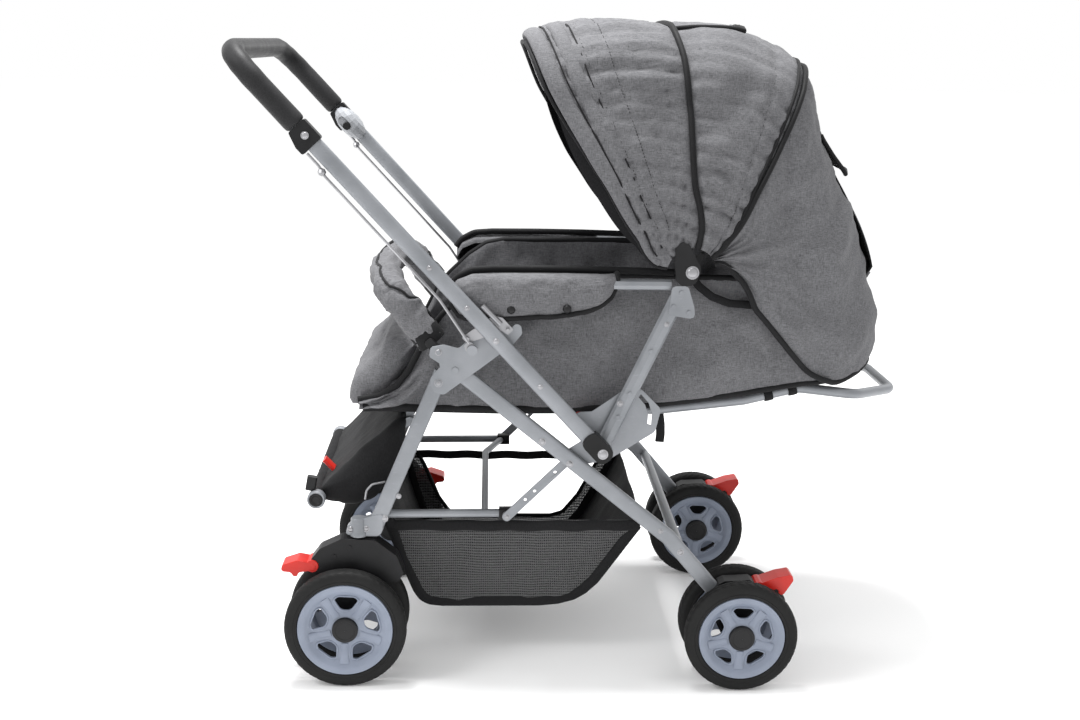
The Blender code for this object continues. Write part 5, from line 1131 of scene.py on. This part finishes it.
def open_curve(points, per):
    """A smooth curve through these points, from the first to the last."""
    out = []
    for around in zip([points[0]] + points, points, points[1:], points[2:] + [points[-1]]):
        out += [curve_spot(*around, step / per) for step in range(per)]
    return out + [points[-1]]


def across_pad(name, section, half, finish, end_round, seed, size, squeeze=()):
    """A pad of this (x, z) section across the pushchair, rounded off at both ends."""
    curve, stations = closed_curve(section, 5), 61
    middle = sum(curve, Vector((0, 0))) / len(curve)
    rows = []
    for i in range(stations):
        v = -1 + 2 * i / (stations - 1)
        v = math.copysign(abs(v) ** 0.8, v)
        y = v * half
        close = 1 - max(0.0, (abs(y) - (half - end_round)) / end_round) ** 2
        scale = max(0.02, math.sqrt(max(0.0, close)))
        row = []
        for k, p in enumerate(curve):
            arm = p - middle
            dent = size * folds(y * 14, k * 0.22, seed) + size * 0.4 * folds(y * 40, k * 0.5, seed + 4)
            for line, depth in squeeze:
                dent -= dip(y, line, 0.006, depth)
            arm = arm * scale + arm.normalized() * dent * min(1.0, scale * 1.5)
            row.append(Vector((middle.x + arm.x, y, middle.y + arm.y)))
        rows.append(row)
    return made(name, [p for row in rows for p in row], ring_faces(stations, len(curve)), finish, 70)


foot_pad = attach(across_pad("tub_foot_pad", foot_section, 0.183, heather, 0.030, 71, 0.0042,
                              squeeze=((-0.06, 0.003), (0.06, 0.003))), "frame")

# The head end, which bends where it leaves the seat
plan = []
turn_y = WALL_Y - HEAD_RADIUS
for i in range(40):
    x = HEAD_START + (HEAD_TURN - HEAD_START) * i / 39
    plan.append((Vector((x, -WALL_Y, 0)), Vector((0, -1, 0))))
for i in range(1, 24):
    a = math.radians(-90 + 90 * i / 23)
    out = Vector((math.cos(a), math.sin(a), 0))
    plan.append((Vector((HEAD_TURN, -turn_y, 0)) + out * HEAD_RADIUS, out))
for i in range(1, 13):
    plan.append((Vector((HEAD_TURN + HEAD_RADIUS, -turn_y + turn_y * i / 12, 0)), Vector((1, 0, 0))))
plan += [(Vector((p.x, -p.y, 0)), Vector((o.x, -o.y, 0))) for p, o in reversed(plan[:-1])]
stations = []
for place, out in plan:
    bend = math.atan2(abs(out.x), abs(out.y))
    run = place.x
    if bend >= 0.01:
        run = HEAD_TURN + HEAD_RADIUS * bend + max(0.0, turn_y - abs(place.y)) * (out.x > 0.999)
    stations.append((place, out, run))
tub_head = wall("tub_head_wall", stations)
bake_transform(tub_head)
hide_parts("gondola_head")
path = [place + Vector((0, 0, wall_top(place.x) + 0.0015)) for place, out in plan]
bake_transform(cord_along("head_edge", path, 0.0100, piping))
path = [place + out * 0.0025 + Vector((0, 0, steps_table(WALL_BOTTOM, place.x) + 0.0035))
        for place, out in plan]
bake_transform(cord_along("head_band", path, 0.0095, piping))

# Seat and backrest pads
# Loose pads of the same cloth over a thin layer of wadding, with sewn channels across them.
def puffed(name, low, high, finish, cap, lines, corner):
    """A pad that starts as a slightly smaller block and is swelled as cloth under pressure. cap is
    how far it may swell, and lines are the places of its sewn channels along x."""
    bpy.ops.object.select_all(action="DESELECT")
    bpy.ops.mesh.primitive_cube_add(size=1, location=[(a + b) / 2 for a, b in zip(low, high)])
    pad = bpy.context.object
    pad.name = name
    pad.scale = [b - a for a, b in zip(low, high)]
    bpy.ops.object.transform_apply(location=True, rotation=True, scale=True)
    bevelled(pad, corner)
    voxels = pad.modifiers.new("voxels", "REMESH")
    voxels.mode = "VOXEL"
    voxels.voxel_size = 0.006
    apply_all(pad)
    rest = [v.co.copy() for v in pad.data.vertices]
    swell = pad.modifiers.new("cloth", "CLOTH")
    swell.settings.use_pressure = True
    swell.settings.uniform_pressure_force = 4
    swell.settings.effector_weights.gravity = 0
    swell.settings.quality = 4
    for step in range(1, 17):
        bpy.context.scene.frame_set(step)
    apply_all(pad)
    bpy.context.scene.frame_set(1)
    half_up = (low[2] + high[2]) / 2
    for point, start in zip(pad.data.vertices, rest):
        way = point.co - start
        if way.length > cap:
            way = way.normalized() * cap
        spot = start + way
        for line in lines:
            spot.z -= dip(spot.x, line, 0.006, 0.0042) if spot.z > half_up else 0
        spot.z += 0.0014 * folds(spot.x * 22, spot.y * 22, 80) if spot.z > half_up else 0
        point.co = spot
    finer = pad.modifiers.new("finer", "SUBSURF")
    finer.levels = finer.render_levels = 1
    apply_all(pad)
    pad.data.materials.clear()
    pad.data.materials.append(finish.material)
    shaded(pad, 80)
    return pad


seat = puffed("seat_pad_soft", (-0.322, -0.180, 0.444), (0.028, 0.180, 0.462), heather, 0.005,
              (-0.27, -0.21, -0.15, -0.09, -0.03), 0.008)
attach(seat, "frame")
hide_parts("seat_pad")
BACK_LINE = ((0.066, 0.4440), (0.240, 0.4600), (0.335, 0.4780), (0.427, 0.4790))
rows = []
for i in range(49):
    u = -1 + 2 * i / 48
    row = []
    for j in range(61):
        x = 0.066 + (0.425 - 0.066) * j / 60
        half = 0.180
        if x >= 0.330:
            half = 0.084 + math.sqrt(max(0.0, HEAD_RADIUS ** 2 - (x - 0.329) ** 2))
        rise = 0.011 * (1 - abs(u) ** 5) * (1 - (2 * j / 60 - 1) ** 8)
        rise += 0.0016 * folds(x * 20, u * 4, 85)
        for line in (0.12, 0.18, 0.24, 0.30, 0.36):
            rise -= dip(x, line, 0.006, 0.0040)
        row.append(Vector((x, u * half, steps_table(BACK_LINE, x) + rise)))
    rows.append(row)
back_pad = cloth("backrest_pad", rows, [heather, lining], 0.012, (0.24, 0, 0.2))
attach(back_pad, "backrest")
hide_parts("backrest_panel")

# Armrest covers
# A padded flap wraps each armrest tube and is held to the wall with black snaps. Its lower
# edge and the rim are bound in black.
COVER_LOW = ((-0.205, 0.600), (-0.190, 0.5800), (-0.165, 0.5760), (-0.1234, 0.5780), (-0.0851, 0.5795),
             (-0.0409, 0.5825), (-0.0041, 0.5885), (0.0178, 0.5975), (0.0352, 0.6095), (0.0450, 0.6300))
COVER_TOP = ((-0.205, 0.610), (-0.194, 0.6300), (-0.171, 0.6400), (-0.120, 0.6415), (0.045, 0.6415))
COVER_INNER, COVER_REACH = 0.205, 0.2562
snap_bag = ([], [])
for label, side in SIDES:
    rows = []
    for i in range(97):
        x = -0.203 + (0.0445 + 0.203) * i / 96
        low, top = steps_table(COVER_LOW, x), steps_table(COVER_TOP, x)
        end = min(1.0, 9 * min(i, 96 - i) / 96 + 0.2)
        row = []
        drop = top - low
        section = (
            (0.2470, low), (0.2515, low + drop * 0.16), (0.2545, low + drop * 0.38),
            (0.2550, low + drop * 0.60), (0.2530, top - drop * 0.20), (0.2485, top - drop * 0.06),
            (0.2400, top), (0.2280, top + 0.0010), (0.2160, top - 0.0005), (0.2060, top - 0.0030),
            (0.1985, top - 0.0065), (0.1960, top - 0.014),
        )
        for k, spot in enumerate(open_curve([Vector((0, side * y, z)) for y, z in section], 4)):
            puff = 0.0048 * folds(x * 16, k * 0.09, 90 + side) + 0.0020 * folds(x * 48, k * 0.25, 93)
            puff += 0.0016 * math.sin(math.tau * x / 0.031) * math.exp(-k / 5)
            y = spot.y
            if abs(y) > COVER_INNER:
                swelled = (abs(y) - COVER_INNER) * (0.5 + 0.5 * end) + puff * end
                y = side * min(COVER_REACH, COVER_INNER + swelled)
            row.append(Vector((x, y, spot.z)))
        rows.append(row)
    cover = cloth(f"armrest_cover_{label}", rows, [heather, lining], 0.0045, (-0.08, side * 0.232, 0.60))
    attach(cover, "frame")
    path = [row[0] + Vector((0, side * 0.0008, 0)) for row in rows]
    path += [rows[-1][k] for k in range(4, len(rows[-1]) - 12, 4)]
    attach(cord_along(f"armrest_binding_{label}", path, 0.0078, piping), "frame")
    rim_band = [(-0.2040, 0.6180), (-0.1940, 0.6320), (-0.1720, 0.6435), (-0.1400, 0.6458),
                (-0.0600, 0.6462), (0.0200, 0.6455), (0.0800, 0.6440), (0.1320, 0.6425)]
    path = softened([Vector((x, side * 0.2060, z)) for x, z in rim_band], 0.03, 4)
    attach(cord_along(f"armrest_rim_band_{label}", path, 0.0105, piping, 0.0115), "frame")
    dome = [(0.0, 0.0040), (0.0030, 0.0036), (0.0052, 0.0024), (0.0062, 0.0008), (0.0064, -0.0030)]
    for x, y, z in ((-0.1130, 0.2535, 0.5925), (-0.0308, 0.2550, 0.5945)):
        add_to(snap_bag, *turned(dome, (x, side * y, z), "y", side, 24))
add_to(snap_bag, *turned([(0.0, 0.0036), (0.0040, 0.0030), (0.0060, 0.0010), (0.0062, -0.0016)],
                         (-0.0279, 0.1850, 0.5813), "y", -1, 24))
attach(made("armrest_snaps", *snap_bag, cap_plastic, 45), "frame")

# Bumper bar
# A foam-padded hoop in a sewn cover, with a black piping seam over the top and black bands
# where it plugs into the front plates.
BUMPER_END = (-0.2300, 0.5370)
bumper_y, corner = 0.220, 0.085
path = [at(BUMPER_END, -bumper_y), at((-0.256, 0.570), -bumper_y)]
for i in range(5):
    turn = math.radians(22.5 * i)
    spot = at((-0.276, 0.597), -bumper_y + corner * (1 - math.cos(turn)))
    path.append(spot + Vector((-0.024, 0, 0.020)) * math.sin(turn))
path.append(at((-0.312, 0.612), -0.060))
path += [Vector((p.x, -p.y, p.z)) for p in reversed(path)]
hoop = open_curve(path, 10)
count, sides = len(hoop), 32
outward = Vector((-0.55, 0.0, 0.84))
verts = []
for i, place in enumerate(hoop):
    way = heading(hoop, i)
    up = (outward - way * outward.dot(way)).normalized()
    other = way.cross(up)
    share = i / (count - 1)
    size = 0.0238 * min(1.0, 0.90 + 2.4 * min(share, 1 - share))
    for k in range(sides):
        a = math.tau * k / sides
        c, s = math.cos(a), math.sin(a)
        off_seam = min(a, math.tau - a)
        puff = 0.0034 * folds(share * 16, c * 1.3, 101 + s) + 0.0014 * folds(share * 60, c * 3, 103 + s * 3)
        puff -= dip(off_seam, 0, 0.20, 0.0022)
        puff += math.sin(share * 190) * dip(off_seam, 0, 0.7, 0.0010)
        verts.append(place + up * ((size + puff) * c) + other * ((size + puff) * s))
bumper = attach(made("bumper_cover", verts, ring_faces(count, sides), heather, 70), "bumper")
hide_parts("bumper_bar")
seam = [hoop[i] + (verts[i * sides] - hoop[i]).normalized() * 0.0232 for i in range(6, count - 6)]
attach(cord_along("bumper_piping", seam, 0.0040, piping), "bumper")
ends = ([], [])
widths = [0.038, 0.0445, 0.0470, 0.0478, 0.0455]
for order in (hoop, hoop[::-1]):
    way = (order[3] - order[0]).normalized()
    band = [order[0] + way * d for d in (-0.002, -0.0012, 0.004, 0.022, 0.024)]
    add_to(ends, *tube_mesh(band, widths, widths, (0, 1, 0), 32))
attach(made("bumper_end_bands", *ends, black_cloth, 50), "bumper")
pin = Vector(PLATE_TOP_PIN)
tab_way = (Vector(BUMPER_END) - pin).normalized()
left = Vector((-tab_way.y, tab_way.x)) * 0.007
start, end = pin - tab_way * 0.0075, pin + tab_way * 0.024
outline = rounded_outline([start - left, end - left, end + left, start + left], 0.006)
for label, side in SIDES:
    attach(stamped(f"bumper_tab_{label}", outline, side * 0.2411, 0.0102, black_plastic, 0.0010), "bumper")

# Basket
# A shopping basket under the seat: see-through mesh sides bound in black, a plain black cloth
# floor and ends, and a far side cut low for reaching in. It hangs from all four legs.
MESH_PITCH = 0.0060
mesh_cloth = Finish("basket_mesh", "black_cloth", 0.80, Sheen_Weight=0.1)
on_mesh = {"Vector": mesh_cloth.place()}
along = mesh_cloth.node("ShaderNodeSeparateXYZ", {}, on_mesh) * (math.tau / MESH_PITCH)
upward = mesh_cloth.node("ShaderNodeSeparateXYZ", {}, on_mesh, 2) * (0.62 * math.tau / MESH_PITCH)
cells = (along + upward).sine() * (along - upward).sine()
yarns = mesh_cloth.noise(700, detail=2)
# The mesh's holes: only partly see-through, and painted near-black there as painted shade of the basket's
# inside
holes_and_painted_shade = mesh_cloth.level(cells, 0.02, 0.30)
mesh_cloth.set("Alpha", 1 - holes_and_painted_shade * 0.30)
thread = mesh_cloth.between(mesh_cloth.level(yarns, 0.3, 0.7), (0.040, 0.040, 0.041), (0.100, 0.100, 0.102))
# Painted shade: the holes are coloured near-black, standing in for the shaded inside seen through them
mesh_cloth.set("Base Color", mesh_cloth.between(holes_and_painted_shade, thread, (0.006, 0.006, 0.0065)))
mesh_cloth.set("Roughness", mesh_cloth.level(yarns, 0.3, 0.7, 0.72, 0.86))
mesh_cloth.bump(cells * -0.5 + yarns * 0.3, 0.6, 0.0008)
BASKET_LOW = ((-0.3066, 0.2440), (-0.2850, 0.1780), (-0.2610, 0.1120), (-0.2520, 0.0965), (-0.2400, 0.0900),
              (-0.2200, 0.0875), (-0.0600, 0.0875), (-0.0300, 0.0908), (-0.0050, 0.0985), (0.0120, 0.1100),
              (0.0300, 0.1290), (0.0640, 0.1830), (0.0955, 0.2340))
BASKET_TOP_Z = 0.2445
SCOOP = ((-0.3066, 0.2440), (-0.2750, 0.2400), (-0.2620, 0.2180), (-0.2350, 0.1600), (-0.2150, 0.1340),
         (-0.1900, 0.1280), (-0.0300, 0.1280), (-0.0080, 0.1340), (0.0200, 0.1650), (0.0500, 0.2150),
         (0.0650, 0.2400), (0.0955, 0.2440))
BASKET_BACK, BASKET_FRONT = 0.0953, -0.3062


def basket_y(z):
    return 0.150 + 0.040 * (z - 0.080) / 0.1645


def hung(piece):
    """The basket hangs between the frame and the front legs; each piece has its placing baked into its mesh.
    """
    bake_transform(piece)


for label, side in SIDES:
    rows = []
    for i in range(101):
        # Columns lie closer together near the two ends, where the wall turns
        c = math.cos(math.pi * i / 100)
        x = BASKET_FRONT + (BASKET_BACK - BASKET_FRONT) * (0.5 - 0.5 * c * (0.75 + 0.25 * abs(c)))
        low = steps_table(BASKET_LOW, x)
        high = BASKET_TOP_Z if side < 0 else max(low + 0.001, steps_table(SCOOP, x))
        row = []
        for k in range(29):
            t = k / 28
            z = low + (high - low) * t
            bulge = 0.0050 * math.sin(math.pi * min(1.0, t * 1.05))
            bulge += 0.0110 * folds(x * 13, t * 1.5, 120 + side)
            bulge += 0.0012 * folds(x * 40, t * 5, 124)
            bulge = min(0.008, max(-0.0012, bulge)) * min(1.0, max(0.0, (x + 0.300) / 0.11))
            bulge *= min(1.0, (high - low) / 0.05) * math.sin(math.pi * min(1.0, 0.04 + 0.96 * t)) ** 0.4
            row.append(Vector((x, side * (basket_y(z) + bulge * 0.9), z)))
        rows.append(row)
    wall_sheet = cloth(f"basket_mesh_{label}", rows, [mesh_cloth], 0.0010, (-0.10, 0, 0.16))
    hung(wall_sheet)
    if side < 0:
        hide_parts("basket")
    low_path = []
    for x, z in BASKET_LOW:
        inward = (Vector((-0.105, 0.300)) - Vector((x, z))).normalized() * 0.0065
        x, z = x + inward.x, z + inward.y
        low_path.append(Vector((x, side * (basket_y(z) + 0.0004), z)))
    low_path = softened(low_path, 0.02, 4)
    hung(cord_along(f"basket_low_band_{label}", low_path, 0.0175, black_cloth, 0.0042, (0, 1, 0)))
    top_path = []
    for k in range(41):
        y = side * (0.1900 + 0.0008 * math.sin(k * 0.7))
        z = 0.2365 - 0.0016 * math.sin(math.pi * k / 40) - 0.0008 * math.sin(k * 0.9)
        top_path.append(Vector((-0.303 + 0.3975 * k / 40, y, z)))
    width = 0.0175 if side < 0 else 0.0150
    hung(cord_along(f"basket_top_band_{label}", top_path, width, black_cloth, 0.0044, (0, 1, 0)))
scoop_path = softened([Vector((x, basket_y(z) + 0.001, z)) for x, z in SCOOP[1:-1]], 0.02, 4)
hung(cord_along("basket_scoop_binding", scoop_path, 0.0070, black_cloth))
outline = softened([Vector((x, 0, z)) for x, z in BASKET_LOW[:-1]] + [Vector((0.0975, 0, 0.2440))], 0.02, 5)
rows = []
for i, spot in enumerate(outline):
    row = []
    for k in range(41):
        v = -1 + 2 * k / 40
        sag = 0.0035 * folds(spot.x * 14 + spot.z * 9, v * 2.5, 130) + 0.0014 * folds(spot.x * 45, v * 8, 133)
        sag *= 1 - abs(v) ** 6
        row.append(Vector((spot.x + sag * 0.6, v * (basket_y(spot.z) - 0.001), spot.z - abs(sag) * 0.5)))
    rows.append(row)
trough = cloth("basket_floor", rows, [black_cloth], 0.0018, (-0.10, 0, 0.19))
hung(trough)

# Footrest
# A soft black calf rest: a cloth bag over a light tube frame, with a padded roll at its foot
# and pressed caps at the ends of the roll. It lifts on two pins under the tub.
FOOTREST_PIVOT, FOOTREST_END = (-0.268, 0.396), (-0.413, 0.276)
ROLL_HALF = 0.180
frame_bag = ([], [])
arm_y = 0.1575
arms = [at(FOOTREST_PIVOT, -arm_y), at(FOOTREST_END, -arm_y), at(FOOTREST_END, arm_y),
        at(FOOTREST_PIVOT, arm_y)]
add_to(frame_bag, *tube_mesh(softened(arms, 0.02, 6), 0.010, 0.010, sides=16))
for side in (-1, 1):
    add_to(frame_bag, *turned([(0.0030, -0.005), (0.0075, -0.005), (0.0075, 0.005), (0.0030, 0.005)],
                              at(FOOTREST_PIVOT, side * arm_y), "y", 1, 24))
footrest_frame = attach(made("footrest_frame", *frame_bag, silver, 45), "footrest")
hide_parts("footrest_bar")
verts = []
for i in range(61):
    place = at(FOOTREST_END, ROLL_HALF * (i / 30 - 1))
    width = 0.0255 + 0.0007 * folds(i * 0.5, 1, 140) - (0.004 if i in (0, 60) else 0.0)
    for k in range(28):
        a = math.tau * k / 28
        r = width / 2 + 0.0005 * folds(i * 0.4, a * 1.2, 142)
        verts.append(place + Vector((r * math.cos(a), 0, r * math.sin(a))))
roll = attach(made("footrest_roll", verts, ring_faces(61, 28), black_cloth, 60), "footrest")
caps, rings = ([], []), ([], [])
for side in (-1, 1):
    centre = at(FOOTREST_END, side * ROLL_HALF)
    add_to(caps, *turned([(0.0, 0.0080), (0.0060, 0.0082), (0.0072, 0.0094), (0.0094, 0.0096),
                          (0.0104, 0.0080), (0.0104, 0.0), (0.0, 0.0)], centre, "y", side, 40))
    add_to(rings, *turned([(0.0104, 0.0088), (0.0116, 0.0100), (0.0134, 0.0098), (0.0142, 0.0080),
                           (0.0142, -0.0040), (0.0120, -0.0060), (0.0104, -0.0060)],
                          centre, "y", side, 40))
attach(made("footrest_caps", *caps, cap_plastic, 35), "footrest")
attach(made("footrest_cap_rings", *rings, silver, 35), "footrest")
bag_section = ((-0.2830, 0.4020), (-0.3080, 0.3835), (-0.3350, 0.3600), (-0.3640, 0.3330), (-0.3930, 0.3040),
               (-0.4080, 0.2860), (-0.4060, 0.2720), (-0.3860, 0.2640), (-0.3560, 0.2620), (-0.3300, 0.2680),
               (-0.3080, 0.2920), (-0.2900, 0.3280), (-0.2760, 0.3680), (-0.2740, 0.3950))
calf_bag = across_pad("footrest_bag", bag_section, 0.182, black_cloth, 0.020, 150, 0.0032)
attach(calf_bag, "footrest")
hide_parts("footrest_panel")

# Flap and pocket on the canopy
# A window flap buttoned down over the top, and a patch pocket with its own flap on the back,
# all of the same cloth with a black underside; the two flaps are bound in black, the pocket in the same
# cloth.
def patch(name, panel, t_range, s_range, lifts, thickness, rows_count=15, columns=41):
    """Cloth laid over a canopy panel, lifted off it by this much from its sewn to its free edge."""
    rows = []
    for i in range(rows_count):
        u = i / (rows_count - 1)
        t = t_range[0] + (t_range[1] - t_range[0]) * u
        row = []
        for j in range(columns):
            v = -1 + 2 * j / (columns - 1)
            lift = steps_table(lifts, u) + 0.0018 * folds(v * 5, u * 2, 160 + s_range) * u
            row.append(canopy_spot(panel, t, s_range * v, lift - 0.0015 * abs(v) ** 8)[0])
        rows.append(row)
    border = [row[0] for row in rows] + rows[-1][1:] + [row[-1] for row in reversed(rows[:-1])]
    return cloth(name, rows, [heather, lining], thickness, hub_place), border


window_flap, border = patch("canopy_top_flap", MID_PANEL, (0.01, 0.50), 0.26,
                            ((0, 0.0035), (0.3, 0.0075), (1, 0.0115)), 0.0030)
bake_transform(window_flap)
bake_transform(cord_along("canopy_top_flap_binding", border, 0.0075, piping))
pocket, border = patch("canopy_pocket", REAR_PANEL, (0.30, 0.735), 0.30,
                       ((0, 0.0030), (0.25, 0.0080), (0.6, 0.0140), (0.92, 0.0170), (1, 0.0050)), 0.0024, 25)
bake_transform(pocket)
below_flap = [p for p in border if p.z < 0.640]
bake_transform(cord_along("canopy_pocket_binding", below_flap, 0.0040, heather))
pocket_flap, border = patch("canopy_pocket_flap", REAR_PANEL, (0.175, 0.345), 0.33,
                            ((0, 0.0030), (0.4, 0.0100), (1, 0.0200)), 0.0030)
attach(pocket_flap, "frame")
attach(cord_along("canopy_pocket_flap_binding", border, 0.0070, piping), "frame")
seam = [canopy_spot(REAR_PANEL, 0.74 + 0.26 * i / 30, 0.0, 0.003)[0] for i in range(31)]
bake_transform(cord_along("canopy_back_seam", seam, 0.0048, piping))

# Straps and clips under the tub
# Short black webbing straps tie the tub to the frame: one tucked in under each hub, two loops
# on each side of the recline tube, and one loose end that hangs down behind the near leg.
for label, side in SIDES:
    tuck = [(x, side * y, z) for x, y, z in (
        (0.160, 0.206, 0.634), (0.170, 0.207, 0.6215), (0.190, 0.207, 0.6060), (0.2166, 0.206, 0.5960),
        (0.250, 0.203, 0.5930), (0.270, 0.199, 0.5940))]
    strap = cord_along(f"hub_strap_{label}", softened(tuck, 0.02, 3), 0.0120, black_cloth, 0.0032, (0, 1, 0))
    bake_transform(strap)
    loops, widths = ([], []), [0.0196, 0.0206, 0.0196]
    for x, z in ((0.2890, 0.4468), (0.3260, 0.4558)):
        ring = [(x + step * 0.0065, side * RECLINE_Y, z + step * 0.0016) for step in (-1, 0, 1)]
        add_to(loops, *tube_mesh(ring, widths, widths, (0, 1, 0), 24))
    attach(made(f"recline_loops_{label}", *loops, black_cloth, 50), "backrest")
loose = [(0.1190, -0.176, 0.4360), (0.1200, -0.1765, 0.4180), (0.1228, -0.1775, 0.3980),
         (0.1235, -0.1765, 0.3820), (0.1225, -0.1760, 0.3690)]
strap = cord_along("loose_strap", softened(loose, 0.01, 4), 0.0140, black_cloth, 0.0022, (0, 1, 0))
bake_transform(strap)

# Clips and hooks
# Small pressed parts: a red clip and a black one on the calf rest, and bent wire hooks on the
# front legs that hold the basket.
clip_ends = [(-0.4075, -0.112, 0.3200), (-0.3900, -0.112, 0.3020)]
red_clip = tube_mesh(clip_ends, 0.024, 0.007, (-0.7, 0, 0.7), 16, 4)
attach(made("calf_clip", *red_clip, red_plastic, 40), "footrest")
black_clip = tube_mesh([(-0.4190, -0.176, 0.3110), (-0.4230, -0.176, 0.2890)], 0.016, 0.012, (0, 1, 0), 16, 4)
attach(made("calf_corner_clip", *black_clip, cap_plastic, 40), "footrest")
hooks = ([], [])
for side in (-1, 1):
    path = [(x, side * y, z) for x, y, z in (
        (-0.3046, 0.1935, 0.3080), (-0.3247, 0.1965, 0.3047), (-0.3335, 0.1975, 0.2950),
        (-0.3358, 0.1960, 0.2803))]
    add_to(hooks, *tube_mesh(softened(path, 0.01, 6), 0.0038, 0.0038, sides=12))
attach(made("front_wire_hooks", *hooks, steel, 50), "front_legs")

# Floor
# A plain pale floor, wide enough to run out of sight.
pale = Finish("pale_floor", "white_plastic", 0.85, Specular_IOR_Level=0.0, Emission_Strength=0.10,
              Emission_Color=(1.0, 1.0, 1.0))
pale.set("Base Color", pale.between(pale.noise(3, detail=2), (0.895, 0.895, 0.895), (0.915, 0.915, 0.915)))
bpy.ops.mesh.primitive_circle_add(vertices=96, radius=30, fill_type="NGON")
floor = bpy.context.object
floor.name = "floor"
floor.data.materials.append(pale.material)
